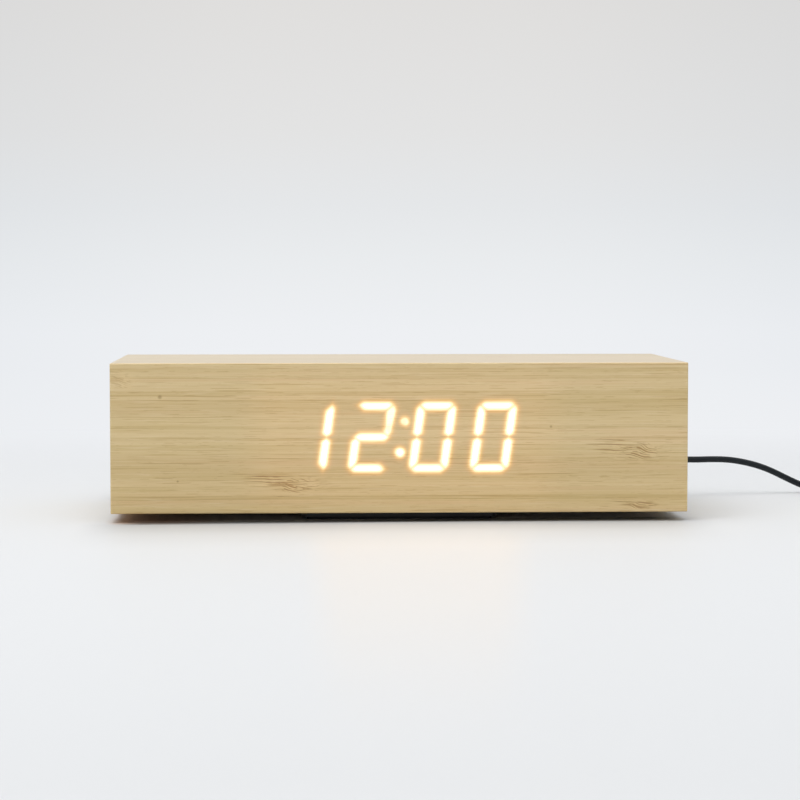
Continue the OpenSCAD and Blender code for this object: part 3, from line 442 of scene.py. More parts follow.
class BambooJoint(Effect):
    """The mark that a joint of the cane leaves on a board: a pale patch in ragged brown lines."""

    title = "Bamboo joint"
    takes = {
        "Vector": (Kind.VECTOR, (0.0, 0.0, 0.0)),
        "Middle": (Kind.VECTOR, (0.0, 0.0, 0.0)),
        "Reach": (Kind.VECTOR, (6.0, 3.0, 1.0)),
        "Tangle": (Kind.NUMBER, 1.0),
    }
    gives = {"Lines": Kind.NUMBER, "Patch": Kind.NUMBER}
    long = Hairs(1.0, 22.0, 0.40, 0.28)
    short = Hairs(1.0, 9.0, 0.48, 0.20)
    knot = Hairs(0.8, 3.0, 0.38, 0.36)
    short_share = 0.6
    # How far apart in the noise two joints are, and the kinds of line
    joint_step = 3.1
    short_step = 29.0
    knot_step = 71.0
    # How ragged the mark's outline is, and the scale of that across and along
    ragged = 0.9
    ragged_scale = 0.8
    ragged_long = 0.16
    # The shares of the reach between which the mark fades, and its knot
    edge = (0.35, 1.05)
    knot_edge = (0.30, 0.62)
    # Where the long lines are: the stretch and move of the reach, and the shares where they fade
    left = (1.1, 1.9, 0.0)
    left_move = (0.65, -0.60, 0.0)
    left_edge = (0.45, 1.05)
    # Scales of the swirl along and across the grain, and how far it bends the two kinds of line
    swirl = (0.13, 0.11)
    long_bend = 0.8
    short_bend = 2.0
    # The same for the knot, and how it slants
    wild = (0.20, 0.34)
    wild_bend = 1.8
    slant = 0.22
    # The swirl at which the pale patch starts and is full
    patch = (0.4, 0.62)

    def build(self, graph: Graph, given: Wires) -> Iterable[Wire]:
        """Builds the group round the middle, out to its reach along and across the grain.

        Straight brown fibres run in from the left and stop at a knot of short, slanting ones.

        Args:
            graph: The group's graph.
            given: Its inputs by name.

        Returns:
            Its outputs, in the order of gives.
        """
        away = given["Vector"].vector("SUBTRACT", given["Middle"])
        share = away.vector("DIVIDE", given["Reach"])
        x, y, _ = away.split()
        seed = given["Middle"].split()[0] * self.joint_step
        far = share.stretch((1.0, 1.0, 0.0)).length()
        ragged = graph.noise(graph.join(x * self.ragged_long, y, seed), self.ragged_scale,
                             detail=3.0, roughness=0.6) - 0.5
        far = ragged.onto(far, self.ragged)
        inside = far.fade(*self.edge, 1.0, 0.0)

        def bending(scale: Span) -> Wire:
            """Returns noise that bends lines, by its scale along and across."""
            return graph.noise(graph.join(x * scale[0], y * scale[1], seed), detail=1.0)

        swirl = bending(self.swirl)
        bend = swirl * given["Tangle"] * inside
        bent = bend.onto(y, self.short_bend)

        left = share.stretch(self.left, self.left_move).length()
        left = ragged.onto(left, self.ragged).fade(*self.left_edge, 1.0, 0.0)
        long = self.long.draw(graph, x, bend.onto(y, self.long_bend), seed) * left
        short = self.short.draw(graph, x, bent, seed + self.short_step)
        short = short * (inside * self.short_share)
        wild = bending(self.wild)
        slant = x.onto(bent, given["Tangle"] * self.slant)
        knot = self.knot.draw(graph, x, wild.onto(slant, self.wild_bend), seed + self.knot_step)
        knot = knot * far.fade(*self.knot_edge, 1.0, 0.0) * inside
        lines = graph.chain("MAXIMUM", [long, short, knot])
        return lines, inside * swirl.fade(*self.patch)


class Numeral(Enum):
    """Strokes that a numeral lights: a top, b and c right, d bottom, e and f left, g middle."""

    ZERO = "abcdef"
    ONE = "bc"
    TWO = "abged"
    THREE = "abgcd"
    FOUR = "fgbc"
    FIVE = "afgcd"
    SIX = "afgecd"
    SEVEN = "abc"
    EIGHT = "abcdefg"
    NINE = "abcdfg"


@dataclass(frozen=True)
class Numerals:
    """Sizes of the row of numerals and its two dots."""

    shown: tuple[Numeral, ...] = (Numeral.ONE, Numeral.TWO, Numeral.ZERO, Numeral.ZERO)
    middle_x: float = 0.6
    middle_z: float = 31.05
    pitch: float = 22.1
    height: float = 25.4
    width: float = 14.4
    stroke: float = 2.8
    upright: float = 3.05
    seam: float = 0.15
    waist: float = 0.44
    waist_vee: float = 0.55
    bar_gap: float = 0.4
    corner_cut: float = 2.25
    lean: float = 0.143
    dot_rise: float = 5.6
    low_dot: float = 1.65
    high_dot: float = 1.4
    rounding: float = 1.2
    merge: float = 0.3
    tint_fade: float = 20.0


@dataclass(frozen=True)
class Veil:
    """A dense place in the wood that holds back some of the numerals' light.

    It reaches out from its middle, along and up, and ends between two shares of that reach. Light
    there is at most what a given distance from a stroke's edge gets: foot and head give it at
    two rises over the numerals' middle, and dot gives it for the upper dot. Strokes look thinner
    there too, most at the lower of two rises.
    """

    middle: Span = (-2.2, 37.5)
    reach: Span = (5.2, 8.0)
    edge: Span = (0.6, 1.05)
    rises: Span = (1.0, 7.0)
    foot: float = -0.18
    head: float = -0.50
    dot: float = -0.42
    grain: float = 0.25
    thin_rises: Span = (2.0, 10.0)
    thinner: float = 0.6


def outside(value: Wire, middle: float, half: float) -> Wire:
    """Returns how far value is outside a band about middle."""
    return abs(value - middle) - half


def past(across: Wire, along: Wire, limit: float) -> Wire:
    """Returns how far across plus along is past limit, measured square to that line."""
    return (across + along - limit) * math.sqrt(0.5)


class DigitGlow(Effect):
    """Light of the numerals as it spreads through the thin wood in front of them."""

    title = "Digit glow"
    takes = {"Vector": (Kind.VECTOR, (0.0, 0.0, 0.0)), "Grain": (Kind.NUMBER, 0.0)}
    gives = {"Glow": Kind.COLOUR, "Distance": Kind.NUMBER}
    near = -1.25
    far = 3.0
    unlit = 50.0
    grain = 0.12
    # Distance from a stroke's edge, and the light there as a share of the core's
    spread = (
        (-1.25, (2.20, 1.60, 1.00)),
        (-0.90, (0.80, 0.62, 0.40)),
        (-0.55, (0.50, 0.36, 0.22)),
        (-0.18, (0.30, 0.21, 0.14)),
        (0.18, (0.160, 0.110, 0.065)),
        (0.55, (0.090, 0.052, 0.012)),
        (0.91, (0.052, 0.022, 0.002)),
        (1.27, (0.027, 0.006, 0.0)),
        (1.64, (0.012, 0.002, 0.0)),
        (2.20, (0.004, 0.0, 0.0)),
        (3.00, (0.0, 0.0, 0.0)),
    )
    # The faint light all round the numerals
    tint = (0.016, 0.007, 0.003)

    def __init__(self, sizes: Numerals, veil: Veil) -> None:
        """Takes the sizes of the numerals and the dense place in front of them."""
        self.sizes, self.veil = sizes, veil

    def lit(self, graph: Graph, place: Wire, strokes: Sequence[str]) -> Wire:
        """Returns 0 where a stroke is lit and a large distance where it isn't.

        Args:
            graph: The group's graph.
            place: The numeral's number in the row, with the side as the part after it.
            strokes: The stroke's letter on each side, left first.

        Returns:
            What to add to the distance from the stroke.
        """
        flags = [
            0.0 if stroke in numeral.value else 1.0
            for numeral in self.sizes.shown
            for stroke in strokes
        ]
        stops = [(i / len(flags), (flag,) * 3) for i, flag in enumerate(flags)]
        share = place / float(len(self.sizes.shown))
        return graph.ramp(share, stops, "CONSTANT").split()[0] * self.unlit

    def strokes(self, graph: Graph, own: Wire, z: Wire, side: Wire) -> list[Wire]:
        """Returns the distance from each stroke of a numeral, large where it isn't lit.

        Args:
            graph: The group's graph.
            own: The distance from the numeral's upright middle line.
            z: The height over its middle.
            side: The numeral's number in the row, with the side as the part after it.

        Returns:
            The distances.
        """
        size = self.sizes
        half_w, half_h, stroke, seam = size.width / 2, size.height / 2, size.stroke, size.seam
        found = []
        for up, side_strokes, bar in ((z, "fb", "a"), (-z, "ec", "d")):
            down = -up
            corner = past(own, up, half_w + half_h - size.corner_cut)
            top = outside(up, half_h - stroke / 2, stroke / 2)
            flat = graph.chain("SMOOTH_MAX", [top, past(own, down, half_w - half_h - seam), corner],
                               size.rounding)
            found.append(flat + self.lit(graph, side, bar * 2))
            beside = outside(own, half_w - size.upright / 2, size.upright / 2)
            end = beside.onto(size.waist + size.waist_vee * size.upright / 2, size.waist_vee)
            upright = graph.chain(
                "SMOOTH_MAX", [beside, past(up, -own, half_h - half_w - seam), corner, end - up],
                size.rounding)
            found.append(upright + self.lit(graph, side, side_strokes))
        middle = graph.chain(
            "SMOOTH_MAX", [outside(z, 0.0, stroke / 2),
                           past(own, abs(z), half_w - stroke / 2 + size.bar_gap)], size.rounding)
        return [*found, middle + self.lit(graph, side, "gg")]

    def dots(self, x: Wire, z: Wire) -> list[Wire]:
        """Measures how far a place is from each dot.

        Args:
            x: The place along the row.
            z: Its height over the numerals' middle.

        Returns:
            The distances.
        """
        size = self.sizes
        found = []
        for rise, radius in ((-size.dot_rise, size.low_dot), (size.dot_rise, size.high_dot)):
            dx, dz = x - (size.middle_x + size.lean * rise), z - rise
            found.append((dx * dx + dz * dz).math("SQRT") - radius)
        return [found[0], found[1].math("MAXIMUM", self.veil.dot)]

    def veiled(self, graph: Graph, x: Wire, z: Wire, grain: Wire, distance: Wire) -> Wire:
        """Finds how far from a stroke a place looks through the grain and the dense place.

        Args:
            graph: The group's graph.
            x: The place along the row.
            z: Its height over the numerals' middle.
            grain: How dense the fibres are there.
            distance: How far it is from a stroke or dot.

        Returns:
            The distance that it looks to be.
        """
        veil = self.veil
        away = graph.join(
            (x - veil.middle[0]) / veil.reach[0],
            (z - (veil.middle[1] - self.sizes.middle_z)) / veil.reach[1],
        ).length()
        least = grain.onto(z.fade(*veil.rises, veil.foot, veil.head), veil.grain)
        held = away.fade(*veil.edge, least, self.near)
        thin = away.fade(*veil.edge, z.fade(*veil.thin_rises, veil.thinner, 0.0), 0.0)
        return grain.onto(distance + thin, self.grain).math("MAXIMUM", held)

    def build(self, graph: Graph, given: Wires) -> Iterable[Wire]:
        """Builds the light at each place, and the distance to the nearest lit stroke or dot.

        Args:
            graph: The group's graph.
            given: Its inputs by name.

        Returns:
            Its outputs, in the order of gives.
        """
        size, count = self.sizes, len(self.sizes.shown)
        x, _, z = given["Vector"].split()
        z = z - size.middle_z
        row = z.onto(x - (size.middle_x - count * size.pitch / 2), -size.lean)
        number = (row / size.pitch).math("FLOOR")
        number = number.math("MAXIMUM", 0.0).math("MINIMUM", count - 1.0)
        own = number.onto(row, -size.pitch) - size.pitch / 2
        side = own.math("GREATER_THAN", 0.0).onto(number + 0.25, 0.5)
        found = [*self.strokes(graph, abs(own), z, side), *self.dots(x, z)]
        distance = graph.chain("SMOOTH_MIN", found, size.merge)

        seen = self.veiled(graph, x, z, given["Grain"], distance)
        depth = self.far - self.near
        light = graph.ramp((seen - self.near) / depth,
                           [((away - self.near) / depth, share) for away, share in self.spread])
        beyond = graph.join(
            outside(x, size.middle_x, count * size.pitch / 2).math("MAXIMUM", 0.0),
            outside(z, 0.0, size.height / 2).math("MAXIMUM", 0.0),
        ).length()
        round_it = beyond.fade(size.tint_fade, 0.0)
        tint = graph.shade(self.tint, 1.0, graph.join(round_it, round_it, round_it))
        return graph.blend(1.0, light, tint, "ADD"), distance


class FineTexture(Effect):
    """The fine etched surface of a moulding, with soft smudges in its gloss."""

    title = "Fine texture"
    takes = {"Vector": (Kind.VECTOR, (0.0, 0.0, 0.0)), "Size": (Kind.NUMBER, 0.25)}
    gives = {"Height": Kind.NUMBER, "Smudge": Kind.NUMBER}

    def build(self, graph: Graph, given: Wires) -> Iterable[Wire]:
        """Builds the etched height at the given size, and smudges some millimetres across.

        Args:
            graph: The group's graph.
            given: Its inputs by name.

        Returns:
            Its outputs, in the order of gives.
        """
        grain = graph.get("Math", (1.0, given["Size"]), operation="DIVIDE")
        return (graph.noise(given["Vector"], grain, roughness=0.6),
                graph.noise(given["Vector"], scale=0.12, detail=3.0, roughness=0.55))


class BrushedLines(Effect):
    """Fine lines that rolling or turning leaves on metal."""

    title = "Brushed lines"
    takes = {"Vector": (Kind.VECTOR, (0.0, 0.0, 0.0)), "Along": (Kind.VECTOR, (0.1, 4.0, 4.0))}
    gives = {"Height": Kind.NUMBER, "Wear": Kind.NUMBER}

    def build(self, graph: Graph, given: Wires) -> Iterable[Wire]:
        """Builds the lines, drawn out by the scale that Along gives each axis.

        Args:
            graph: The group's graph.
            given: Its inputs by name.

        Returns:
            Its outputs, in the order of gives.
        """
        return (graph.noise(given["Vector"].stretch(given["Along"]), detail=4.0, roughness=0.65),
                graph.noise(given["Vector"], scale=0.4, detail=3.0, roughness=0.6))


GRAIN, JOINT, TEXTURE, BRUSHED = BambooGrain(), BambooJoint(), FineTexture(), BrushedLines()


# ---- Finishes --------------------------------------------------------------------------------


class Lay(Enum):
    """How a board's grain lies: rows give the axes along it, across its strips and into it."""

    FACE = ((1, 0, 0), (0, 0, 1), (0, -1, 0))
    FLAT = ((1, 0, 0), (0, 1, 0), (0, 0, 1))
    END = ((0, 1, 0), (0, 0, 1), (1, 0, 0))
    UPRIGHT = ((0, 0, 1), (1, 0, 0), (0, 1, 0))

    @property
    def turn(self) -> Matrix:
        """The turn that brings the object's axes onto the grain's."""
        return Matrix(self.value)


@dataclass(frozen=True)
class Finish:
    """A surface: its name, colour, gloss and relief, and how its nodes vary them."""

    name: str
    colour: Colour = (0.5, 0.5, 0.5)
    roughness: float = 0.5
    # How far the roughness goes from that either way
    swing: float = 0.06
    # The relief's depth, and how strongly it shades
    depth: float = 0.02
    relief: float = 0.5

    def material(self) -> bpy.types.Material:
        """Makes the finish's material the first time that it is asked for.

        Returns:
            The material.
        """
        made = bpy.data.materials.get(self.name)
        if made is None:
            made = bpy.data.materials.new(self.name)
            made.use_nodes = True
            made.diffuse_color = (*self.colour, 1.0)
            graph = Graph(made.node_tree)
            shader = made.node_tree.nodes["Principled BSDF"]
            for name, value in {"Roughness": self.roughness, **self.paint(graph)}.items():
                graph.feed(shader.inputs[name], value)
        return made

    def paint(self, graph: Graph) -> dict[str, Value]:
        """Lays out what the shader's sockets get.

        Args:
            graph: The material's graph.

        Returns:
            Values and wires for the shader, by socket.
        """
        raise NotImplementedError

    def gloss(self, smudge: Wire) -> Wire:
        """Returns the roughness, varied about the finish's own by its swing either way."""
        return smudge.fade(0.3, 0.7, self.roughness - self.swing, self.roughness + self.swing)

    def normal(self, graph: Graph, height: Wire) -> Wire:
        """Returns the normal that the finish's relief has at a height."""
        return graph.bump(height, self.depth, self.relief)

    def toned(self, *shares: float, lift: float = 0.0) -> Colour:
        """Returns the finish's colour times one share or three, plus lift."""
        shares = shares * 3 if len(shares) == 1 else shares
        return tuple(c * share + lift for c, share in zip(self.colour, shares))


@dataclass(frozen=True)
class Tone:
    """What a part of the wood does to its colour, and how much of that there is at most."""

    colour: Colour
    share: float = 1.0


@dataclass(frozen=True)
class Joint:
    """Where a joint of the cane shows on a board, along and across its grain."""

    middle: Point
    reach: Point
    tangle: float = 1.0
    depth: float = 1.0


@dataclass(frozen=True)
class Bamboo(Finish):
    """Glued bamboo, sanded and oiled."""

    colour: Colour = (0.680, 0.522, 0.266)
    roughness: float = 0.40
    swing: float = 0.05
    depth: float = 0.035
    relief: float = 0.35
    oil: float = 0.75
    oil_roughness: float = 0.30
    lay: Lay = Lay.FACE
    strip: float = 7.0
    seed: float = 0.0
    joints: tuple[Joint, ...] = ()
    # Middle and radius of each speck
    specks: tuple[Point, ...] = ()
    # The two heights between which the wood turns to a painted shade, darker towards the foot
    foot: Span = (22.0, 8.0)
    foot_shade: Colour = (1.0, 1.0, 1.0)
    dark_strip: Tone = Tone((0.95, 0.93, 0.88))
    light_strip: Tone = Tone((1.05, 1.06, 1.10))
    dark_band: Tone = Tone((0.955, 0.95, 0.89))
    warm_band: Tone = Tone((1.0, 0.965, 0.97))
    fibre: Tone = Tone((0.90, 0.845, 0.735))
    bundle: Tone = Tone((0.74, 0.64, 0.47), 0.85)
    pale: Tone = Tone((1.15, 1.2, 1.42), 0.32)
    seam: Tone = Tone((0.84, 0.78, 0.68), 0.55)
    patch: Tone = Tone((1.08, 1.06, 1.04), 0.5)
    joint_line: Tone = Tone((0.53, 0.37, 0.17))
    speck: Tone = Tone((0.62, 0.55, 0.42), 0.85)
    # The solid share of a speck's radius
    speck_core: float = 0.2
    # The noise at which bands and fibres start and are full
    dark_at: Span = (0.46, 0.68)
    warm_at: Span = (0.46, 0.34)
    fibre_at: Span = (0.46, 0.66)
    # How much of the fibre dark and light strips have
    fibre_shares: Span = (1.1, 0.6)

    def paint(self, graph: Graph) -> dict[str, Value]:
        """Lays out the colour, gloss and fine relief of the wood.

        Args:
            graph: The material's graph.

        Returns:
            Values and wires for the shader, by socket.
        """
        place = graph.place(self.lay.turn)
        grain = GRAIN.use(graph, Vector=place, Strip=self.strip, Seed=self.seed)
        return {
            "Base Color": self.wood(graph, grain, place),
            "Roughness": self.gloss(grain["Fibre"]),
            "Coat Weight": self.oil,
            "Coat Roughness": self.oil_roughness,
            "Normal": self.normal(graph, grain["Height"]),
            **self.light(graph, grain),
        }

    def wood(self, graph: Graph, grain: Wires, place: Wire) -> Wire:
        """Lays out the colour of the wood from its strips, fibres, joints and specks, and the
        painted shade at its foot.

        Args:
            graph: The material's graph.
            grain: The grain's outputs.
            place: The place on the grain's axes.

        Returns:
            The colour.
        """
        strip, band = grain["Strip tone"], grain["Band"]
        colour = graph.blend(strip.fade(0.0, 1.0), self.toned(*self.dark_strip.colour),
                             self.toned(*self.light_strip.colour))
        colour = graph.shade(colour, band.fade(*self.dark_at), self.dark_band.colour)
        colour = graph.shade(colour, band.fade(*self.warm_at), self.warm_band.colour)
        fibre = grain["Fibre"].fade(*self.fibre_at) * strip.fade(0.1, 0.9, *self.fibre_shares)
        colour = graph.shade(colour, fibre, self.fibre.colour)
        colour = graph.shade(colour, grain["Bundle"] * self.bundle.share, self.bundle.colour)
        # Painted shade: the board darker towards its foot
        colour = graph.shade(colour, place.split()[1].fade(*self.foot), self.foot_shade)
        colour = graph.blend(grain["Pale"] * self.pale.share, colour,
                             self.toned(*self.pale.colour))
        colour = graph.shade(colour, grain["Seam"] * self.seam.share, self.seam.colour)
        for joint in self.joints:
            mark = JOINT.use(graph, Vector=place, Middle=joint.middle, Reach=joint.reach,
                             Tangle=joint.tangle)
            colour = graph.blend(mark["Patch"] * self.patch.share, colour,
                                 self.toned(*self.patch.colour))
            colour = graph.shade(colour, mark["Lines"] * joint.depth, self.joint_line.colour)
        for *middle, radius in self.specks:
            away = place.stretch((1.0, 1.0, 0.0)).distance((*middle, 0.0))
            dot = away.fade(self.speck_core * radius, radius, self.speck.share, 0.0)
            colour = graph.shade(colour, dot, self.speck.colour)
        return colour

    def light(self, graph: Graph, grain: Wires) -> dict[str, Value]:
        """Returns what the shader's light gets, which plain boards don't have."""
        return {}


@dataclass(frozen=True)
class LitBamboo(Bamboo):
    """The front board, thin enough over the display for the numerals to shine through."""

    glow: DigitGlow = DigitGlow(Numerals(), Veil())
    strength: float = 3.2
    # Fibres so dense that they dim the light, and the most that do
    dimming: Span = (0.5, 0.8)

    def light(self, graph: Graph, grain: Wires) -> dict[str, Value]:
        """Lays out the light of the numerals.

        Args:
            graph: The material's graph.
            grain: The grain's outputs.

        Returns:
            Values and wires for the shader's light, by socket.
        """
        dense = grain["Bundle"] + grain["Fibre"].fade(*self.dimming)
        light = self.glow.use(graph, Vector=graph.place(), Grain=dense)
        return {"Emission Color": light["Glow"], "Emission Strength": self.strength}


@dataclass(frozen=True)
class Moulded(Finish):
    """Moulded plastic with an etched surface."""

    grain: float = 0.25
    specular: float = 0.5
    # The lighter mottle's share of the colour, what is added to it, and the smudge that brings it
    mottle: Span = (1.12, 0.002)
    mottle_at: Span = (0.35, 0.7)

    def paint(self, graph: Graph) -> dict[str, Value]:
        """Lays out the etched relief, a faint mottle and the smudged gloss.

        Args:
            graph: The material's graph.

        Returns:
            Values and wires for the shader, by socket.
        """
        surface = TEXTURE.use(graph, Vector=graph.place(), Size=self.grain)
        share, lift = self.mottle
        lighter = surface["Smudge"].fade(*self.mottle_at)
        return {
            "Specular IOR Level": self.specular,
            "Base Color": graph.blend(lighter, self.colour, self.toned(share, lift=lift)),
            "Roughness": self.gloss(surface["Smudge"]),
            "Normal": self.normal(graph, surface["Height"]),
        }


@dataclass(frozen=True)
class MarkedKey(Moulded):
    """A key with its sunk mark filled in white."""

    middle: Point = (0.0, 0.0, 0.0)
    face_y: float = 43.7
    mark: float = 1.6
    white: Colour = (0.8, 0.8, 0.78)
    # How far below the face the white starts and ends
    sunk: Span = (0.08, 0.5)

    def paint(self, graph: Graph) -> dict[str, Value]:
        """Lays out the plastic, whitened in the sunk mark below the face.

        Args:
            graph: The material's graph.

        Returns:
            Values and wires for the shader, by socket.
        """
        fed = super().paint(graph)
        x, y, z = graph.place().stretch(1.0, tuple(-c for c in self.middle)).split()
        across = abs(x).math("MAXIMUM", abs(z))
        high, low = (self.face_y - depth for depth in self.sunk)
        sunk = y.math("LESS_THAN", high) * y.math("GREATER_THAN", low)
        inside = sunk * across.math("LESS_THAN", self.mark)
        return {**fed, "Base Color": graph.blend(inside, fed["Base Color"], self.white)}


@dataclass(frozen=True)
class Metal(Finish):
    """Plated or turned metal with drawn-out lines."""

    swing: float = 0.08
    depth: float = 0.01
    relief: float = 0.35
    along: Point = (0.15, 4.0, 4.0)
    tarnish: Colour = (0.8, 0.78, 0.75)
    # The wear at which the tarnish starts and is full
    tarnish_at: Span = (0.45, 0.75)

    def paint(self, graph: Graph) -> dict[str, Value]:
        """Lays out the lines, the dulled places and the gloss.

        Args:
            graph: The material's graph.

        Returns:
            Values and wires for the shader, by socket.
        """
        lines = BRUSHED.use(graph, Vector=graph.place(), Along=self.along)
        dull = lines["Wear"].fade(*self.tarnish_at)
        return {
            "Metallic": 1.0,
            "Base Color": graph.shade(self.colour, dull, self.tarnish),
            "Roughness": self.gloss(lines["Wear"]),
            "Normal": self.normal(graph, lines["Height"]),
        }


@dataclass(frozen=True)
class CellJacket(Finish):
    """Dry cells side by side, head to tail: plain jackets between bare metal ends."""

    colour: Colour = (0.06, 0.075, 0.11)
    roughness: float = 0.3
    depth: float = 0.008
    relief: float = 0.3
    half_jacket: float = 20.9
    ring_wide: float = 12.0
    ring: Colour = (0.62, 0.42, 0.16)
    bare: Colour = (0.66, 0.66, 0.65)
    # How metallic the jacket looks
    sheen: float = 0.35
    # How far from the middle the outer cells start, which lie the other way round
    outer_from: float = 5.0

    def paint(self, graph: Graph) -> dict[str, Value]:
        """Lays out the jacket, a copper-coloured band near one end and the bare ends.

        Args:
            graph: The material's graph.

        Returns:
            Values and wires for the shader, by socket.
        """
        place = graph.place()
        x, y, _ = place.split()
        surface = TEXTURE.use(graph, Vector=place, Size=0.6)
        along = x * (abs(y) - self.outer_from).math("SIGN")
        band = along.math("GREATER_THAN", self.half_jacket - self.ring_wide)
        bare = abs(x).math("GREATER_THAN", self.half_jacket)
        colour = graph.blend(band, self.colour, self.ring)
        return {
            "Base Color": graph.blend(bare, colour, self.bare),
            "Metallic": graph.between(bare, self.sheen, 1.0),
            "Roughness": self.gloss(surface["Smudge"]),
            "Normal": self.normal(graph, surface["Height"]),
        }


@dataclass(frozen=True)
class CircuitBoard(Finish):
    """Solder mask over copper tracks, with tinned pads."""

    colour: Colour = (0.012, 0.085, 0.038)
    roughness: float = 0.32
    swing: float = 0.05
    depth: float = 0.03
    relief: float = 0.6
    lay: Lay = Lay.FLAT
    pitch: float = 2.54
    pad: Span = (0.27, 0.3)
    tin: Colour = (0.7, 0.69, 0.66)
    # The colour's share over a track
    track: float = 2.1
    # The noise at which tracks start and are full, and below which there are pads
    tracks_at: Span = (0.45, 0.52)
    pads_below: float = 0.42

    def paint(self, graph: Graph) -> dict[str, Value]:
        """Lays out the mask, the tracks under it and a grid of pads in places.

        Args:
            graph: The material's graph.

        Returns:
            Values and wires for the shader, by socket.
        """
        place = graph.place(self.lay.turn)
        brick = {"Vector": place.stretch(1 / self.pitch), "Scale": 1.0, "Mortar Size": 0.09,
                 "Mortar Smooth": 0.2, "Brick Width": 3.0, "Row Height": 0.5}
        tracks = graph.get("TexBrick", brick, "Fac", offset=0.5, offset_frequency=2)
        track = tracks * graph.noise(place, scale=0.11).fade(*self.tracks_at)
        cell = place.stretch(1 / self.pitch, 0.5).vector("FRACTION")
        middle = cell.stretch((1.0, 1.0, 0.0)).distance((0.5, 0.5, 0.0))
        chosen = graph.noise(place, scale=0.16, detail=1.0).math("LESS_THAN", self.pads_below)
        pad = middle.fade(*self.pad, 1.0, 0.0) * chosen
        colour = graph.blend(track, self.colour, self.toned(self.track))
        surface = TEXTURE.use(graph, Vector=place, Size=0.5)
        return {
            "Base Color": graph.blend(pad, colour, self.tin),
            "Metallic": pad,
            "Roughness": self.gloss(surface["Smudge"]),
            "Normal": self.normal(graph, track * 0.5 + pad),
        }


@dataclass(frozen=True)
class Lamp(Finish):
    """Small light-emitting chips under yellow phosphor."""

    colour: Colour = (0.88, 0.62, 0.18)
    roughness: float = 0.25
    relief: float = 0.3
    # The colour's share where the phosphor is thin
    thin: float = 0.8
    light: Colour = (1.0, 0.72, 0.36)
    strength: float = 1.5

    def paint(self, graph: Graph) -> dict[str, Value]:
        """Lays out the phosphor and its warm light.

        Args:
            graph: The material's graph.

        Returns:
            Values and wires for the shader, by socket.
        """
        surface = TEXTURE.use(graph, Vector=graph.place(), Size=0.3)
        return {
            "Base Color": graph.blend(surface["Smudge"], self.colour, self.toned(self.thin)),
            "Normal": self.normal(graph, surface["Height"]),
            "Emission Color": self.light,
            "Emission Strength": self.strength,
        }


@dataclass(frozen=True)
class Webbing(Finish):
    """A woven hook-and-loop strap."""

    colour: Colour = (0.022, 0.023, 0.026)
    roughness: float = 0.88
    depth: float = 0.15
    relief: float = 0.8
    sheen: float = 0.4
    thread: float = 0.55
    # The colour's share on the pale threads, and the lint's share of the colour and the relief
    pale: float = 2.6
    lint: Span = (0.5, 0.4)

    def paint(self, graph: Graph) -> dict[str, Value]:
        """Lays out the weave, its lint and a soft sheen.

        Args:
            graph: The material's graph.

        Returns:
            Values and wires for the shader, by socket.
        """
        place = graph.place()
        wave = {"Vector": place, "Scale": 1.0 / (self.thread * 3.14)}
        slant, level = (graph.get("TexWave", wave, "Fac", bands_direction=way)
                        for way in ("DIAGONAL", "Z"))
        weave = slant * level
        lint = graph.noise(place, scale=3.0, detail=3.0, roughness=0.7)
        look, feel = self.lint
        return {
            "Base Color": graph.blend(graph.between(look, weave, lint), self.colour,
                                      self.toned(self.pale)),
            "Sheen Weight": self.sheen,
            "Normal": self.normal(graph, graph.between(feel, weave, lint)),
        }


DEEP = 99.0  # Reach of a joint into its board, which is all the way through
FRONT_WOOD = LitBamboo(
    "front bamboo",
    seed=3.0,
    # Painted shade towards the foot of the front board
    foot_shade=(0.975, 0.945, 0.865),
    joints=(
        Joint((-38.5, 13.6, 0.0), (14.0, 5.4, DEEP)),
        Joint((87.0, 25.6, 0.0), (14.0, 6.0, DEEP), 1.1, 0.9),
        Joint((87.5, 5.9, 0.0), (12.0, 3.0, DEEP), 0.7, 0.8),
        Joint((-101.0, 51.5, 0.0), (7.0, 5.0, DEEP), 0.9, 0.35),
    ),
    specks=((-87.0, 45.8, 1.1), (-80.7, 15.2, 0.6), (54.8, 34.7, 0.7)),
)
# The top board's colour is lighter than the other boards': painted light for the overhead lamp and
# the sheen on the top
TOP_WOOD = Bamboo("top bamboo", (0.77, 0.597, 0.322), oil=0.95, lay=Lay.FLAT, seed=5.0,
                  joints=(Joint((41.0, 12.0, 0.0), (10.0, 4.0, DEEP)),))
REAR_WOOD = Bamboo("rear bamboo", seed=8.0, joints=(Joint((-52.0, 40.0, 0.0), (9.0, 3.4, DEEP)),))
LEFT_WOOD = Bamboo("left end bamboo", lay=Lay.END, seed=11.0)
RIGHT_WOOD = Bamboo("right end bamboo", lay=Lay.END, seed=13.0,
                    joints=(Joint((8.0, 37.0, 0.0), (8.0, 3.2, DEEP)),))
BOTTOM_WOOD = Bamboo("bottom bamboo", (0.52, 0.39, 0.20), lay=Lay.FLAT, seed=17.0)
BLOCK_WOOD = Bamboo("sawn bamboo", (0.53, 0.40, 0.20), 0.7, lay=Lay.UPRIGHT, seed=19.0)
BLACK_ABS = Moulded("black moulding", (0.014, 0.014, 0.016), 0.42)
KEY_ABS = Moulded("key moulding", (0.045, 0.045, 0.048), 0.38, grain=0.18, depth=0.012)
WHITE_ABS = Moulded("white moulding", (0.74, 0.74, 0.72), 0.4)
RUBBER = Moulded("foot rubber", (0.014, 0.014, 0.015), 0.82, grain=0.4, depth=0.05)
CHIP = Moulded("epoxy moulding", (0.020, 0.020, 0.022), 0.55, grain=0.12)
LEAD_SKIN = Moulded("lead sheath", (0.009, 0.012, 0.015), 0.46, grain=0.5, depth=0.012,
                    specular=0.25)
FILM = Moulded("diffuser film", (0.80, 0.77, 0.68), 0.3, grain=0.15)
SLEEVE = Moulded("capacitor sleeve", (0.075, 0.09, 0.13), 0.3, grain=0.5, depth=0.005)
RED_WIRE = Moulded("red wire", (0.36, 0.018, 0.012), 0.35, grain=0.5, depth=0.01)
GREY_WIRE = Moulded("grey wire", (0.15, 0.155, 0.165), 0.35, grain=0.5, depth=0.01)
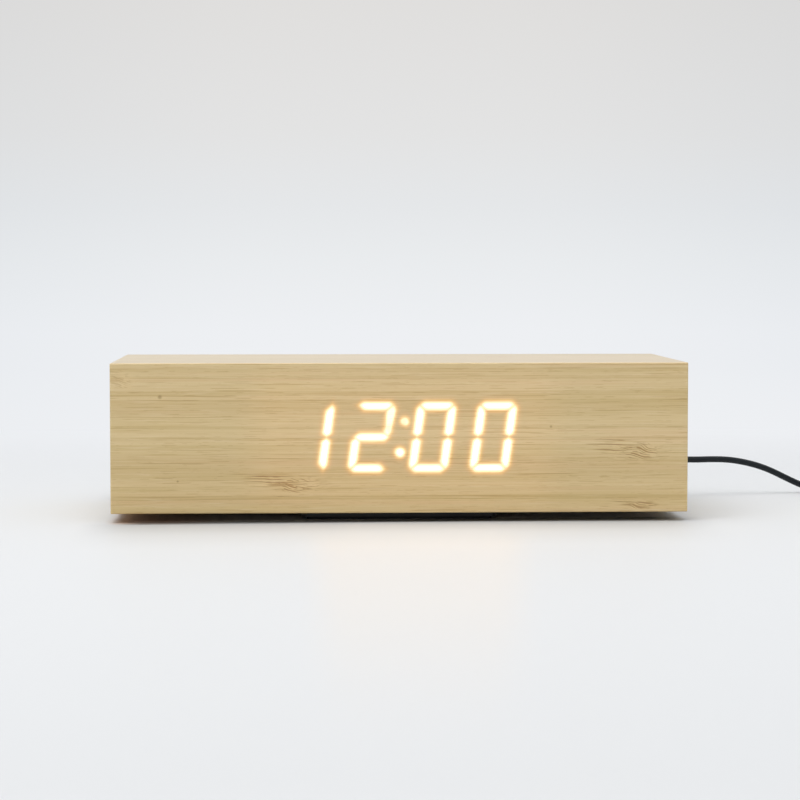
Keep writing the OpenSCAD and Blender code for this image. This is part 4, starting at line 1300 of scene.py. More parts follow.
RIBBON = Moulded("ribbon insulation", (0.40, 0.40, 0.42), 0.45, grain=0.3)
STEEL = Metal("plated steel", (0.62, 0.63, 0.64), 0.28)
BRASS = Metal("turned brass", (0.62, 0.44, 0.16), 0.26, tarnish=(0.8, 0.66, 0.5))
TIN = Metal("tinned contact", (0.74, 0.56, 0.22), 0.22)
CELLS = CellJacket("cell jacket")
MAIN_PCB = CircuitBoard("main circuit board")
UPRIGHT_PCB = CircuitBoard("upright circuit board", lay=Lay.FACE)
LEDS = Lamp("phosphor")
STRAP = Webbing("hook and loop strap")


# ---- Pieces ----------------------------------------------------------------------------------

NEAR = 0.01  # Places closer than this count as one
ALIGNED = 0.99  # Least cosine between directions that count as one
SHARP = 1.2  # Least angle in radians between the faces at a sharp edge


class Body(Enum):
    """The bodies that the new pieces ride on."""

    CASE = "case"
    ALARM_KEY = "alarm_key"


def dress(node: str, finish: Finish) -> None:
    """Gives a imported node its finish.

    Args:
        node: The node's name.
        finish: The finish.
    """
    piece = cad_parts[node]
    if not piece.material_slots:
        piece.data.materials.append(None)
    for place in piece.material_slots:
        place.material = finish.material()
    LOG.info("%s: %s", node, finish.name)


def box_of(node: str) -> tuple[Vector, Vector]:
    """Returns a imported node's lowest and highest corners, in millimetres."""
    low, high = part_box(node)
    return Vector(low) / MM, Vector(high) / MM


def present(name: str, data: bpy.types.ID) -> bpy.types.Object:
    """Adds an object to the scene.

    Args:
        name: Its name.
        data: Its mesh, curve, light or camera.

    Returns:
        The object.
    """
    made = bpy.data.objects.new(name, data)
    bpy.context.scene.collection.objects.link(made)
    return made


def settle(piece: bpy.types.Object, body: Body, finish: Finish,
           replaces: Sequence[str] = ()) -> bpy.types.Object:
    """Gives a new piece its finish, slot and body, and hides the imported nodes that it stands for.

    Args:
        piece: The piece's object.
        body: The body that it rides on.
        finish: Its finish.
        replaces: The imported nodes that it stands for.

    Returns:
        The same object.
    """
    piece.data.materials.append(finish.material())
    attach(piece, body.value)
    if replaces:
        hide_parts(*replaces)
    LOG.info("%s: %s", piece.name, finish.name)
    return piece


def run(edge: bmesh.types.BMEdge) -> Vector:
    """Returns how far an edge runs along each axis."""
    return Vector([abs(c) for c in edge.verts[0].co - edge.verts[1].co])


@dataclass
class Work:
    """A mesh under construction, in millimetres."""

    name: str

    def __post_init__(self) -> None:
        """Starts an empty mesh."""
        self.mesh = bmesh.new()

    def block(self, low: Sequence[float], high: Sequence[float]) -> list[bmesh.types.BMVert]:
        """Adds a block.

        Args:
            low: Its lowest corner.
            high: Its highest corner.

        Returns:
            Its vertices.
        """
        low, high = Vector(low), Vector(high)
        sizes = Matrix.Diagonal((*(high - low), 1.0))
        made = bmesh.ops.create_cube(
            self.mesh, size=1.0, matrix=Matrix.Translation((low + high) / 2) @ sizes
        )
        return made["verts"]

    def soften(self, edges: Iterable[bmesh.types.BMEdge], width: float, steps: int = 3) -> None:
        """Rounds edges off.

        Args:
            edges: The edges.
            width: The width of the rounding.
            steps: The number of faces across it.
        """
        bmesh.ops.bevel(
            self.mesh, geom=list(edges), offset=width, offset_type="OFFSET", segments=steps,
            profile=0.5, affect="EDGES", material=-1, clamp_overlap=True,
        )

    def edges_of(self, verts: Iterable[bmesh.types.BMVert],
                 test: Callable[[bmesh.types.BMEdge], bool]) -> list[bmesh.types.BMEdge]:
        """Returns the edges among vertices that pass a test."""
        chosen = set(verts)
        return [e for e in self.mesh.edges if chosen.issuperset(e.verts) and test(e)]

    def faces_to(self, direction: Sequence[float], where: Callable[[Vector], bool] = lambda p: True
                 ) -> list[bmesh.types.BMFace]:
        """Finds the faces that look along a direction.

        Args:
            direction: The direction, of length 1.
            where: A test that the face's middle has to pass.

        Returns:
            The faces.
        """
        self.mesh.normal_update()
        way = Vector(direction)
        return [
            f for f in self.mesh.faces
            if f.normal.dot(way) > ALIGNED and where(f.calc_center_median())
        ]

    def sink(self, faces: Sequence[bmesh.types.BMFace], rim: float, depth: float,
             wall: float) -> None:
        """Sinks each face into the mesh.

        Args:
            faces: The faces.
            rim: How far in from its edges it starts to go down.
            depth: How far it goes.
            wall: How much further in it is at the bottom.
        """
        for face in faces:
            for inset in (rim, wall):
                bmesh.ops.inset_individual(self.mesh, faces=[face], thickness=inset, depth=0.0)
            bmesh.ops.translate(self.mesh, verts=list(face.verts), vec=-face.normal * depth)

    def lathe(self, profile: Sequence[Span], start: Sequence[float], along: Sequence[float],
              steps: int = 32) -> None:
        """Turns a profile about an axis.

        Args:
            profile: Distance along the axis and radius of each point.
            start: Where the axis starts.
            along: The axis's direction.
            steps: The number of faces round it.
        """
        axis = Vector(along).normalized()
        across = axis.orthogonal().normalized()
        origin = Vector(start)
        points = [self.mesh.verts.new(origin + axis * d + across * r) for d, r in profile]
        edges = [self.mesh.edges.new(pair) for pair in zip(points, points[1:])]
        bmesh.ops.spin(
            self.mesh, geom=points + edges, cent=origin, axis=axis, angle=math.tau, steps=steps,
            use_merge=True,
        )
        bmesh.ops.remove_doubles(self.mesh, verts=self.mesh.verts, dist=0.0005)
        rims = [e for e in self.mesh.edges if e.is_boundary]
        if rims:
            bmesh.ops.holes_fill(self.mesh, edges=rims, sides=0)

    def done(self, body: Body, finish: Finish, replaces: Sequence[str] = (),
             smooth: float = 35.0) -> bpy.types.Object:
        """Makes the piece.

        Args:
            body: The body it rides on.
            finish: Its finish.
            replaces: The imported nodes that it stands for.
            smooth: The angle in degrees up to which faces shade as one.

        Returns:
            The finished object.
        """
        bmesh.ops.recalc_face_normals(self.mesh, faces=self.mesh.faces)
        bmesh.ops.scale(self.mesh, vec=(MM,) * 3, verts=self.mesh.verts)
        mesh = bpy.data.meshes.new(self.name)
        self.mesh.to_mesh(mesh)
        self.mesh.free()
        mesh.shade_smooth()
        mesh.set_sharp_from_angle(angle=math.radians(smooth))
        return settle(present(self.name, mesh), body, finish, replaces)


# ---- Sub-assemblies --------------------------------------------------------------------------


class Assembly:
    """Parts that belong together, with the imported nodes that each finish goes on."""

    finishes: dict[Finish, Sequence[str]] = {}

    def make(self) -> None:
        """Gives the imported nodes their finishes."""
        for finish, nodes in self.finishes.items():
            for node in nodes:
                dress(node, finish)


class Case(Assembly):
    """The mitred bamboo box with its screwed bottom."""

    finishes = {
        FRONT_WOOD: ["front_board"],
        TOP_WOOD: ["top_board"],
        REAR_WOOD: ["rear_board"],
        LEFT_WOOD: ["left_end_board"],
        RIGHT_WOOD: ["right_end_board"],
        BOTTOM_WOOD: ["bottom_board"],
        BLOCK_WOOD: ["corner_blocks"],
        STEEL: ["bottom_screws"],
    }


class Display(Assembly):
    """The light guide, film, lamps and driver behind the front board."""

    finishes = {
        WHITE_ABS: ["display_reflector"],
        FILM: ["diffuser_film"],
        UPRIGHT_PCB: ["display_board"],
        LEDS: ["segment_leds"],
        CHIP: ["driver_chip", "ribbon_sockets"],
        STEEL: ["display_screws"],
        RIBBON: ["ribbon_cable"],
    }


class Base(Assembly):
    """The battery compartment that lifts the case, its door and its feet."""

    finishes = {
        BLACK_ABS: ["base_housing", "battery_door"],
        RUBBER: ["rubber_feet"],
        STEEL: ["base_screws", "battery_springs", "contact_plates"],
        CELLS: ["battery_cells"],
        RED_WIRE: ["battery_wires"],
    }


class Electronics(Assembly):
    """The main board and what is soldered to it."""

    finishes = {
        MAIN_PCB: ["main_board"],
        BRASS: ["board_standoffs"],
        STEEL: ["board_screws", "crystal_can", "coin_cell"],
        CHIP: ["clock_chip", "coin_cell_holder", "buzzer"],
        SLEEVE: ["capacitors"],
        WHITE_ABS: ["wire_sockets"],
        GREY_WIRE: ["control_wires"],
    }


@dataclass
class Controls(Assembly):
    """The panel at the rear with three keys, the alarm's slider and the power socket."""

    ridges: int = 4
    ridge_depth: float = 0.3
    slider_edge: float = 0.2
    stem_half: Span = (1.0, 0.7)
    stem_share: float = 0.72

    finishes = {
        BLACK_ABS: ["control_panel"],
        STEEL: ["panel_screws", "control_board_screws", "slide_switch"],
        UPRIGHT_PCB: ["control_board"],
        CHIP: ["tact_switches", "dc_jack"],
        WHITE_ABS: ["set_plunger", "up_plunger", "down_plunger"],
    }

    def make(self) -> None:
        """Gives the panel's parts and keys their finishes and makes the slider."""
        super().make()
        for node in ("set_button", "up_button", "down_button"):
            low, high = box_of(node)
            x, _, z = (low + high) / 2
            dress(node, MarkedKey(node + " moulding", KEY_ABS.colour, KEY_ABS.roughness,
                                  depth=KEY_ABS.depth, grain=KEY_ABS.grain,
                                  middle=(x, 0.0, z), face_y=high.y))
        self.slider()

    def slider(self) -> None:
        """Makes the alarm's slider, with ridges for a finger nail across its end."""
        low, high = box_of("alarm_slider")
        x, _, z = (low + high) / 2
        half_x, half_z = self.stem_half
        work = Work("alarm_slide_knob")
        head_y = low.y + (high.y - low.y) * self.stem_share
        work.block((x - half_x, low.y, z - half_z), (x + half_x, head_y, z + half_z))
        head = work.block((low.x, head_y, low.z), high)
        cuts = 2 * self.ridges
        bmesh.ops.subdivide_edges(work.mesh, edges=work.edges_of(head, lambda e: run(e).x > 0.5),
                                  cuts=cuts, use_grid_fill=True)
        width = (high.x - low.x) / (cuts + 1)
        grooves = work.faces_to(
            (0, 1, 0), lambda p: p.y > high.y - NEAR and int((p.x - low.x) / width) % 2 == 1
        )
        sunk = {v for f in grooves for v in f.verts}
        bmesh.ops.translate(work.mesh, verts=list(sunk), vec=(0, -self.ridge_depth, 0))
        rim = work.edges_of(
            work.mesh.verts,
            lambda e: run(e).x > NEAR and all(
                v.co.y > head_y - NEAR
                and min(abs(v.co.z - low.z), abs(v.co.z - high.z)) < NEAR for v in e.verts
            ),
        )
        work.soften(rim, self.slider_edge, 2)
        work.done(Body.ALARM_KEY, WHITE_ABS, ["alarm_slider"])


@dataclass
class Relief:
    """The tapered, grooved end of a plug that keeps its lead from kinking."""

    lead_radius: float
    thin_end: float = 1.9
    rings: int = 5
    # The first groove's place and a groove's width, as shares of the grooves' spacing
    first: float = 0.7
    groove_share: float = 0.42
    groove: float = 0.55
    least_wall: float = 0.15
    flank: float = 0.12
    step: float = 0.04
    tip: Span = (0.4, 0.35)

    def add(self, work: Work, start: Point, along: Point, length: float, big: float) -> None:
        """Adds the relief to a mesh.

        Args:
            work: The mesh to add to.
            start: Where its thick end is.
            along: The way it tapers.
            length: Its length.
            big: The radius of its thick end.
        """
        profile = [(0.0, 0.0), (0.0, big)]
        ring = length / (self.rings + 1)
        for i in range(self.rings):
            at = ring * (i + self.first)
            end = at + ring * self.groove_share
            radius = big + (self.thin_end - big) * at / length
            bottom = max(radius - self.groove, self.lead_radius + self.least_wall)
            profile += [(at, radius), (at + self.flank, bottom), (end, bottom),
                        (end + self.flank, radius - self.step)]
        back, down = self.tip
        profile += [(length - back, self.thin_end), (length, self.thin_end - down), (length, 0.0)]
        work.lathe(profile, start, along)


@dataclass(frozen=True)
class Rests:
    """Sunk finger rests on the two broad sides of a plug."""

    rim: float
    depth: float
    wall: float
    # Least height of a broad side over the plug's middle
    rise: float = 2.0

    def add(self, work: Work, z: float) -> None:
        """Sinks the rests.

        Args:
            work: The plug's mesh.
            z: The height of its middle.
        """
        for side in (-1, 1):
            broad = work.faces_to((0, 0, side), lambda p: (p.z - z) * side > self.rise)
            work.sink(broad, self.rim, self.depth, self.wall)


@dataclass
class ClockPlug:
    """The angled plug that stands on the panel, with the relief where its lead leaves."""

    relief: Relief
    end_round: float = 2.2
    back_round: float = 1.1
    edge_round: float = 0.25
    rests: Rests = Rests(1.2, 0.4, 0.3)

    def make(self) -> None:
        """Makes the plug's body and its relief, and gives its barrel a finish."""
        dress("plug_barrel", STEEL)
        low, high = box_of("dc_plug")
        work = Work("clock_plug")
        body = work.block(low, high)
        z = (low.z + high.z) / 2
        work.soften(work.edges_of(body, lambda e: all(v.co.x < low.x + 0.1 for v in e.verts)),
                    self.end_round, 5)
        back = [e for e in work.mesh.edges if e.calc_length() > NEAR
                and all(v.co.y > high.y - NEAR for v in e.verts)]
        work.soften(back, self.back_round, 4)
        self.rests.add(work, z)
        sharp = [e for e in work.mesh.edges
                 if e.is_manifold and e.calc_face_angle(0.0) > SHARP and e.calc_length() > 0.5]
        work.soften(sharp, self.edge_round, 2)
        work.done(Body.CASE, LEAD_SKIN, ["dc_plug"])

        low, high = box_of("plug_relief")
        work = Work("clock_plug_relief")
        _, y, z = (low + high) / 2
        self.relief.add(work, (low.x, y, z), (1, 0, 0), high.x - low.x, (high.z - low.z) / 2)
        work.done(Body.CASE, LEAD_SKIN, ["plug_relief"])


@dataclass
class FarPlug:
    """The lead's far plug: grip, folded steel shell, tongue and contacts."""

    relief: Relief
    relief_from: float = 10.0
    relief_sunk: float = 0.3
    relief_big: float = 3.0
    corner_round: float = 2.4
    edge_round: float = 0.9
    rests: Rests = Rests(1.0, 0.4, 0.35)
    shell_round: float = 0.55
    shell_wall: float = 0.3
    shell_floor: float = 1.0
    # Least height of the shell's flat sides over its middle
    shell_flat: float = 1.5
    # The latch windows' near and far sides from the middle and from the mouth
    window_x: Span = (1.4, 3.6)
    window_y: Span = (4.2, 6.7)
    tongue_side: float = 0.4
    tongue_y: Span = (0.5, 0.9)
    tongue_z: Span = (2.2, 0.35)
    tongue_round: float = 0.3
    # Each contact's place from the middle, and how much further back it starts
    contacts: tuple[Span, ...] = ((-3.5, 0.0), (-1.0, 1.0), (1.0, 1.0), (3.5, 0.0))
    contact_half: float = 0.5
    contact_y: float = 1.2
    contact_z: Span = (2.32, 2.15)
    contact_round: float = 0.06

    def grip(self) -> bpy.types.Object:
        """Makes the plug's grip, with sunk finger rests and a grooved relief.

        Returns:
            The grip.
        """
        low, high = box_of("usb_grip")
        x, _, z = (low + high) / 2
        relief = high.y - self.relief_from
        work = Work("far_plug_grip")
        body = work.block(low, (high.x, high.y - relief, high.z))
        work.soften(work.edges_of(body, lambda e: run(e).z > 1), self.corner_round, 5)
        work.soften([e for e in work.mesh.edges if e.calc_face_angle(0.0) > SHARP],
                    self.edge_round, 4)
        self.rests.add(work, z)
        self.relief.add(work, (x, high.y - relief - self.relief_sunk, z), (0, 1, 0),
                        relief + self.relief_sunk, self.relief_big)
        return work.done(Body.CASE, LEAD_SKIN, ["usb_grip"])

    def shell(self) -> bpy.types.Object:
        """Makes the folded steel shell with its four latch windows.

        Returns:
            The shell.
        """
        low, high = box_of("usb_shell")
        work = Work("far_plug_shell")
        body = work.block(low, high)
        work.soften(work.edges_of(body, lambda e: run(e).y > 1), self.shell_round, 3)
        mouth = work.faces_to((0, -1, 0))
        bmesh.ops.inset_region(work.mesh, faces=mouth, thickness=self.shell_wall, depth=0.0)
        pushed = bmesh.ops.extrude_discrete_faces(work.mesh, faces=mouth)["faces"]
        bmesh.ops.translate(work.mesh, verts=list({v for f in pushed for v in f.verts}),
                            vec=(0, high.y - low.y - self.shell_floor, 0))
        middle = (low + high) / 2
        half = (high.z - low.z) / 2
        inner, outer = self.window_x
        near, far = (low.y + y for y in self.window_y)
        for x in (-outer, -inner, inner, outer):
            self.cut(work, (middle.x + x, 0, 0), (1, 0, 0), middle.z)
        for y in (near, far):
            self.cut(work, (0, y, 0), (0, 1, 0), middle.z)
        for side, hand in ((-1, -1), (-1, 1), (1, -1), (1, 1)):
            window = [
                f for look in (-1, 1) for f in work.faces_to(
                    (0, 0, look),
                    lambda p: (p.z - middle.z) * side > half - 2 * self.shell_wall
                    and inner < (p.x - middle.x) * hand < outer and near < p.y < far,
                )
            ]
            rims = list({e for f in window for e in f.edges})
            bmesh.ops.delete(work.mesh, geom=window, context="FACES_ONLY")
            bmesh.ops.bridge_loops(work.mesh, edges=rims)
        return work.done(Body.CASE, STEEL, ["usb_shell"])

    def cut(self, work: Work, place: Point, normal: Point, z: float) -> None:
        """Cuts the flat faces of the shell, inside and out, along an edge of its windows.

        Args:
            work: The shell's mesh.
            place: A place on the cut.
            normal: The direction square to the cut.
            z: The height of the shell's middle.
        """
        faces = [
            f for f in work.mesh.faces
            if abs(f.normal.z) > ALIGNED
            and abs(f.calc_center_median().z - z) > self.shell_flat
        ]
        rim = {e for f in faces for e in f.edges}
        corners = {v for f in faces for v in f.verts}
        bmesh.ops.bisect_plane(work.mesh, geom=[*faces, *rim, *corners], dist=0.0001,
                               plane_co=place, plane_no=normal)
        work.mesh.normal_update()

    def tongue(self) -> bpy.types.Object:
        """Makes the plastic tongue inside the shell.

        Returns:
            The tongue.
        """
        low, high = box_of("usb_shell")
        work = Work("far_plug_tongue")
        (near, far), (under, over) = self.tongue_y, self.tongue_z
        body = work.block((low.x + self.tongue_side, low.y + near, high.z - under),
                          (high.x - self.tongue_side, high.y - far, high.z - over))
        work.soften(work.edges_of(body, lambda e: all(v.co.y < low.y + 1 for v in e.verts)),
                    self.tongue_round, 3)
        return work.done(Body.CASE, WHITE_ABS)

    def pins(self) -> bpy.types.Object:
        """Makes the four contacts on the tongue, the outer two longer.

        Returns:
            The contacts, as one piece.
        """
        low, high = box_of("usb_shell")
        work = Work("far_plug_contacts")
        middle = (low.x + high.x) / 2
        half, (under, over) = self.contact_half, self.contact_z
        for x, short in self.contacts:
            bar = work.block(
                (middle + x - half, low.y + self.contact_y + short, high.z - under),
                (middle + x + half, high.y - self.contact_y, high.z - over),
            )
            foot = work.edges_of(bar, lambda e: all(v.co.z < high.z - 2.3 for v in e.verts))
            work.soften(foot, self.contact_round, 2)
        return work.done(Body.CASE, TIN)

    def make(self) -> list[bpy.types.Object]:
        """Makes the plug and returns its pieces."""
        return [self.grip(), self.shell(), self.tongue(), self.pins()]


@dataclass
class Lead:
    """The power lead: its plug in the clock, its free length, coil, strap and far plug."""

    diameter: float = 2.5
    metres: float = 1.10
    # Its route from the clock, chosen point by point
    free: tuple[Point, ...] = (
        (102, 48.9, 14.6), (107, 48.9, 14.6), (113, 49.2, 14.8), (119, 49.8, 14.9),
        (125, 50.7, 14.8), (131, 52, 14.8), (137, 53.6, 14.5), (142, 54.9, 13.8),
        (147, 56.3, 12.7), (152, 57.6, 11.2), (157, 58.9, 9.2), (162, 60.2, 6.8),
        (166, 61.2, 4.9), (170, 62.1, 3.2), (174, 62.9, 2.1), (179, 63.7, 1.4),
        (184, 64.2, 1.3), (189, 64.5, 1.5),
    )
    tail: tuple[Point, ...] = (
        (210.5, 43, 9), (210.5, 38, 8), (210.5, 33, 6.4), (210.5, 28, 4.8), (210.5, 23, 4),
        (210.5, 18, 4),
    )
    coil_middle: Span = (194.0, 48.0)
    coil_outer: float = 16.5
    coil_floor: float = 1.75
    turns: float = 12.25
    layers: int = 4
    points_per_turn: int = 24
    rise_turn: float = 0.14
    strap_thick: float = 0.5
    strap_wide: float = 7.0
    strap_angle: float = 215.0
    strap_smooth: float = 50.0
    # The strap's own share of the room that it has round the bundle
    strap_share: float = 0.92

    def coil(self) -> list[Point]:
        """Winds the coil: flat spirals, in and out by turns, one on another.

        Returns:
            Its points from the first to the last.
        """
        per_layer = self.turns / self.layers
        count = round(self.turns * self.points_per_turn)
        points = []
        for step in range(count + 1):
            turn = self.turns * step / count
            layer = min(int(turn / per_layer), self.layers - 1)
            inward = turn - layer * per_layer
            if layer % 2:
                inward = per_layer - inward
            radius = self.coil_outer - self.diameter * inward
            level = 0.0
            for edge in range(1, self.layers):
                share = (turn - edge * per_layer) / self.rise_turn + 0.5
                share = min(max(share, 0.0), 1.0)
                level += share * share * (3 - 2 * share)
            angle = math.radians(90 - 360 * turn)
            points.append((
                self.coil_middle[0] + radius * math.cos(angle),
                self.coil_middle[1] + radius * math.sin(angle),
                self.coil_floor + self.diameter * level,
            ))
        return points

    def cord(self) -> bpy.types.Object:
        """Makes the lead itself as one curve from the clock's plug to the far plug.

        Returns:
            The lead's object.
        """
        curve = bpy.data.curves.new("power_lead", "CURVE")
        curve.dimensions = "3D"
        curve.bevel_depth = self.diameter / 2 * MM
        curve.bevel_resolution = 4
        curve.resolution_u = 3
        curve.use_fill_caps = True
        points = [*self.free, *self.coil(), *self.tail]
        spline = curve.splines.new("BEZIER")
        spline.bezier_points.add(len(points) - 1)
        for knot, point in zip(spline.bezier_points, points):
            knot.co = Vector(point) * MM
            knot.handle_left_type = knot.handle_right_type = "AUTO"
        return settle(present("power_lead", curve), Body.CASE, LEAD_SKIN,
                      ["cord", "cord_coil", "cord_tail"])

    def strap(self) -> bpy.types.Object:
        """Makes the strap round the coil's bundle.

        Returns:
            The strap.
        """
        half, thick = self.diameter / 2, self.strap_thick
        inner = self.coil_outer - self.diameter * self.turns / self.layers - half
        outer = self.coil_outer + half
        foot = self.coil_floor - half
        low, high = Vector((inner, 0, foot)), Vector((outer, 0, foot + self.layers * 2 * half))
        size = (high.x - low.x + 2 * thick, high.z - low.z + 2 * thick)
        work = Work("lead_strap")
        plane = bmesh.ops.create_grid(work.mesh, x_segments=1, y_segments=1, size=0.5)["verts"]
        bmesh.ops.scale(work.mesh, vec=(*size, 1), verts=plane)
        bmesh.ops.rotate(work.mesh, verts=plane, cent=(0, 0, 0),
                         matrix=Matrix.Rotation(math.radians(90), 3, "X"))
        bmesh.ops.translate(work.mesh, verts=plane, vec=(low + high) / 2)
        bmesh.ops.bevel(work.mesh, geom=plane, offset=half + thick, offset_type="OFFSET",
                        segments=6, profile=0.5, affect="VERTICES", material=-1)
        section = list(work.mesh.faces)
        bmesh.ops.inset_region(work.mesh, faces=section, thickness=thick * self.strap_share,
                               depth=0.0, use_boundary=True)
        bmesh.ops.delete(work.mesh, geom=section, context="FACES_ONLY")
        bmesh.ops.rotate(work.mesh, verts=work.mesh.verts, cent=(0, 0, 0),
                         matrix=Matrix.Rotation(math.radians(self.strap_angle), 3, "Z"))
        bmesh.ops.spin(work.mesh, geom=list(work.mesh.faces), cent=(0, 0, 0), axis=(0, 0, 1),
                       angle=self.strap_wide / ((low.x + high.x) / 2), steps=10, use_merge=False)
        bmesh.ops.translate(work.mesh, verts=work.mesh.verts, vec=(*self.coil_middle, 0))
        return work.done(Body.CASE, STRAP, ["cord_tie"], self.strap_smooth)

    def make(self) -> None:
        relief = Relief(self.diameter / 2)
        cord = self.cord()
        ClockPlug(relief).make()
        self.strap()
        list(FarPlug(relief).make())


# ---- Studio ----------------------------------------------------------------------------------


@dataclass(frozen=True)
class Shade:
    """How much light the clock leaves the floor, by the distance from its long middle line.

    Each stop gives a distance and the floor's share there. Ends are the two distances aside of the
    clock's middle between which the shade runs out.
    """

    stops: tuple[Span, ...]
    ends: Span

    def on(self, graph: Graph, paper: Wire, ahead: Wire, aside: Wire) -> Wire:
        """Shades the paper.

        Args:
            graph: The material's graph.
            paper: The paper's colour.
            ahead: The distance from the clock's long middle line.
            aside: The distance along that line from its middle.

        Returns:
            The shaded colour.
        """
        reach = self.stops[-1][0]
        held = graph.ramp(ahead / reach, [(away / reach, (share,) * 3)
                                          for away, share in self.stops])
        return graph.shade(paper, aside.fade(*self.ends, 1.0, 0.0), held)


@dataclass(frozen=True)
class Sweep(Finish):
    """The pale paper of the floor, and the plain bright wall that it turns up into."""

    colour: Colour = (0.80, 0.812, 0.828)
    roughness: float = 0.55
    specular: float = 0.3
    # Distance in metres towards the eye from the middle of the clock, and the floor's share there:
    # painted shade, darker towards the eye
    floor: tuple[Span, ...] = ((0.0, 1.0), (0.12, 0.99), (0.25, 0.965), (0.35, 0.94),
                               (0.48, 0.90))
    # The clock's soft shade on the floor, and the dark line right under its long edges
    shades: tuple[Shade, ...] = (
        Shade(((0.0, 1.0), (33.0, 0.95), (41.5, 0.74), (44.5, 0.72), (51.5, 0.78), (58.6, 0.82),
               (65.6, 0.855), (72.4, 0.90), (82.4, 0.94), (104.0, 0.985), (120.0, 1.0)),
              (99.0, 118.0)),
        Shade(((0.0, 1.0), (33.0, 1.0), (37.0, 0.38), (41.5, 0.37), (44.5, 0.95), (120.0, 1.0)),
              (92.0, 104.0)),
    )
    shade_slant: float = 0.055
    # Light that comes back from the wood under the clock's left end: where it fades in along the
    # clock from either side, and where it ends ahead
    under_tone: Colour = (0.92, 0.70, 0.58)
    under_right: Span = (-55.0, -90.0)
    under_left: Span = (-108.0, -100.0)
    under_ahead: Span = (38.0, 44.0)
    # Light of the numerals on the floor: its sides, the right one slanting in, and its two ends
    lit_tone: Colour = (1.037, 0.998, 0.955)
    lit_left: Span = (-38.0, -24.0)
    lit_right: Span = (43.0, 57.0)
    lit_slant: float = -0.105
    lit_start: Span = (-60.0, -120.0)
    lit_end: Span = (-215.0, -470.0)
    # Height in metres and the wall's colour there: painted light, dimmer higher up
    wall: tuple[tuple[float, Colour], ...] = (
        (0.03, (0.855, 0.871, 0.896)),
        (0.10, (0.820, 0.838, 0.855)),
        (0.16, (0.785, 0.800, 0.815)),
        (0.24, (0.770, 0.770, 0.770)),
        (0.40, (0.745, 0.735, 0.725)),
    )
    wall_start: Span = (0.10, 0.45)
    # Painted shade: the wall's tone far aside of its brightest place, and the distances between
    # which it sets in
    side: Colour = (0.945, 0.955, 0.965)
    side_middle: float = 60.0
    side_fade: Span = (100.0, 550.0)

    def paint(self, graph: Graph) -> dict[str, Value]:
        """Lays out the paper, and the bright wall that the eye and the gloss see beyond it.

        Args:
            graph: The material's graph.

        Returns:
            Values and wires for the shader, by socket.
        """
        x, y, z = graph.place().split()
        reach = self.floor[-1][0]
        near = y / (-reach / MM)
        # Painted shade on the paper, darker towards the eye
        stops = [(away / reach, self.toned(share)) for away, share in self.floor]
        paper = self.shaded(graph, x, y, graph.ramp(near, stops))

        # The wall's glow is painted light, dimmer higher up and far aside
        top = self.wall[-1][0]
        tone = graph.ramp(z / (top / MM), [(up / top, colour) for up, colour in self.wall])
        aside = abs(x - self.side_middle).fade(*self.side_fade)
        bright = graph.add("Emission", {"Color": graph.shade(tone, aside, self.side)})
        path = graph.add("LightPath").outputs
        seen = graph.chain("MAXIMUM", [Wire(graph, path[name]) for name in (
            "Is Camera Ray", "Is Glossy Ray", "Is Transmission Ray")])
        start, full = self.wall_start
        mixed = graph.add("MixShader", (seen * y.fade(start / MM, full / MM),))
        own = graph.tree.nodes["Principled BSDF"].outputs[0]
        for socket, source in zip(mixed.inputs[1:], (own, bright.outputs[0])):
            graph.tree.links.new(source, socket)
        graph.tree.links.new(mixed.outputs[0], graph.tree.nodes["Material Output"].inputs[0])
        return {"Base Color": paper, "Specular IOR Level": self.specular}

    def shaded(self, graph: Graph, x: Wire, y: Wire, paper: Wire) -> Wire:
        """Lays out the clock's shade on the paper and the light of its parts.

        Args:
            graph: The material's graph.
            x: The place along the clock.
            y: The place across it.
            paper: The paper's colour.

        Returns:
            The colour.
        """
        aside = abs(x)
        ahead = x.onto(abs(y), self.shade_slant)
        for shade in self.shades:
            paper = shade.on(graph, paper, ahead, aside)
        under = x.fade(*self.under_right) * (
            x.fade(*self.under_left) * ahead.fade(*self.under_ahead, 1.0, 0.0))
        paper = graph.shade(paper, under, self.under_tone)
        right = y.onto(x, self.lit_slant).fade(*self.lit_right, 1.0, 0.0)
        lit = x.fade(*self.lit_left) * right * (
            y.fade(*self.lit_start) * y.fade(*self.lit_end, 1.0, 0.0))
        return graph.shade(paper, lit, self.lit_tone)


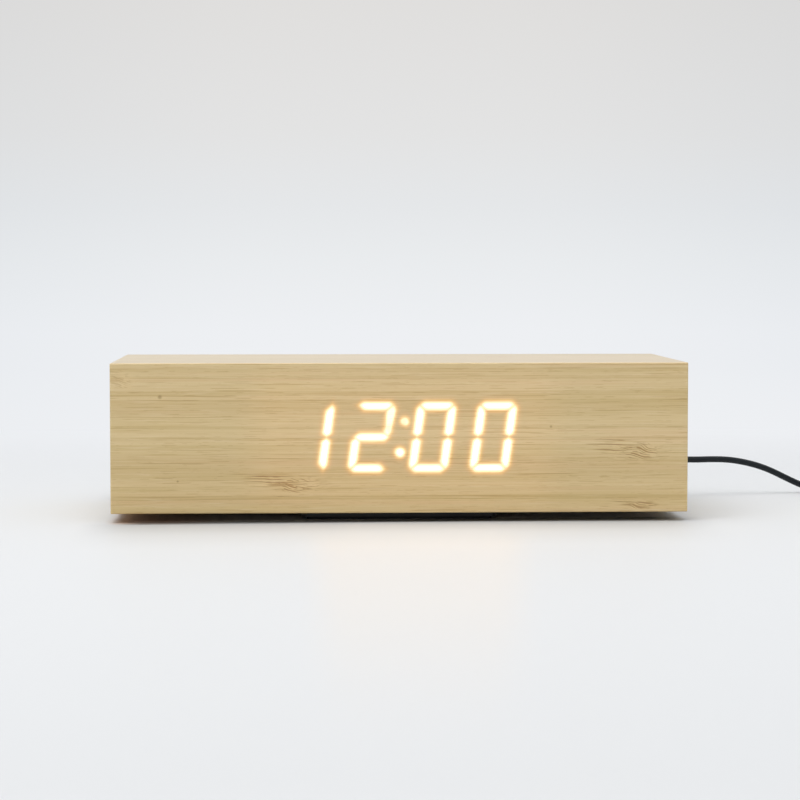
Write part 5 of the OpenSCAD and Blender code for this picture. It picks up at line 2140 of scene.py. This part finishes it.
@dataclass
class Studio:
    """The sweep, lamp and camera, in metres."""

    half_width: float = 30.0
    front: float = -30.0
    turn_y: float = 1.2
    turn_radius: float = 0.7
    height: float = 3.0
    eye: Point = (-0.03838, -0.90486, 0.09240)
    yaw: float = -2.54
    pitch: float = -3.18
    lens: float = 107.1
    lamp_place: Point = (-0.3, -0.62, 1.6)
    lamp_size: float = 1.6
    lamp_watts: float = 17.0
    lamp_colour: Colour = (1.0, 0.99, 0.97)
    zenith: Colour = (0.84, 0.85, 0.86)
    horizon: Colour = (0.37, 0.38, 0.395)
    # Upward share of a direction at which the light from it is the zenith's
    zenith_at: float = 0.9

    def sweep(self) -> None:
        """Makes the floor and backdrop as one curved sheet."""
        mesh = bmesh.new()

        def pulled(edges: Sequence[bmesh.types.BMEdge], way: Point) -> list:
            """Draws edges out.

            Args:
                edges: The edges.
                way: How far they go along each axis.

            Returns:
                The edges and vertices that this adds.
            """
            made = bmesh.ops.extrude_edge_only(mesh, edges=edges)["geom"]
            verts = [g for g in made if isinstance(g, bmesh.types.BMVert)]
            bmesh.ops.translate(mesh, verts=verts, vec=way)
            return [g for g in made if not isinstance(g, bmesh.types.BMFace)]

        ends = [mesh.verts.new((x, self.front, 0.0)) for x in (-self.half_width, self.half_width)]
        made = pulled([mesh.edges.new(ends)], (0, self.turn_y - self.front, 0))
        made = bmesh.ops.spin(mesh, geom=made, cent=(0, self.turn_y, self.turn_radius),
                              axis=(1, 0, 0), angle=math.radians(90), steps=32)["geom_last"]
        pulled([g for g in made if isinstance(g, bmesh.types.BMEdge)], (0, 0, self.height))
        bmesh.ops.recalc_face_normals(mesh, faces=mesh.faces)
        data = bpy.data.meshes.new("studio_sweep")
        mesh.to_mesh(data)
        mesh.free()
        data.shade_smooth()
        data.materials.append(Sweep("studio paper").material())
        present("studio_sweep", data)

    def lamp(self) -> None:
        """Adds the square soft lamp that looks at the clock."""
        light = bpy.data.lights.new("overhead softbox", "AREA")
        light.size, light.energy, light.color = self.lamp_size, self.lamp_watts, self.lamp_colour
        lamp = present("overhead softbox", light)
        lamp.location = self.lamp_place
        lamp.rotation_euler = (-lamp.location).to_track_quat("-Z", "Y").to_euler()

    def camera(self) -> None:
        """Adds the camera and makes it the scene's."""
        data = bpy.data.cameras.new("camera")
        data.lens, data.sensor_width = self.lens, 36.0
        data.clip_start, data.clip_end = 0.01, 50.0
        camera = present("camera", data)
        camera.location = self.eye
        camera.rotation_euler = (math.radians(90 + self.pitch), 0, math.radians(self.yaw))
        bpy.context.scene.camera = camera

    def make(self) -> None:
        """Makes the studio."""
        scene = bpy.context.scene
        scene.view_settings.view_transform = "Standard"
        world = bpy.data.worlds.new("studio")
        world.use_nodes = True
        graph = Graph(world.node_tree)
        up = graph.get("TexCoord", output="Generated").split()[2]
        graph.feed(world.node_tree.nodes["Background"].inputs["Color"],
                   graph.blend(up.fade(0.0, self.zenith_at), self.horizon, self.zenith))
        scene.world = world
        self.sweep()
        self.lamp()
        self.camera()


# ---- The clock -------------------------------------------------------------------------------


def main() -> None:
    """Builds the clock's sub-assemblies in order."""
    logging.basicConfig(level=logging.INFO, format="%(name)s: %(message)s")
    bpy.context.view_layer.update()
    for assembly in (Studio(), Lead(), Case(), Display(), Base(), Electronics(), Controls()):
        LOG.info("%s", type(assembly).__name__)
        assembly.make()


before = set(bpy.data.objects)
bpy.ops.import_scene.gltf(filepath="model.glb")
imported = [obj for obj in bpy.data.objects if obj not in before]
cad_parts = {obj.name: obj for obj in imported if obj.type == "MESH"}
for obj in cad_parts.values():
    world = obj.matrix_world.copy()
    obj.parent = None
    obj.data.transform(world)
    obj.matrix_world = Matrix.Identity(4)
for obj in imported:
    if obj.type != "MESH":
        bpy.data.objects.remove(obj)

if __name__ == "__main__":
    main()
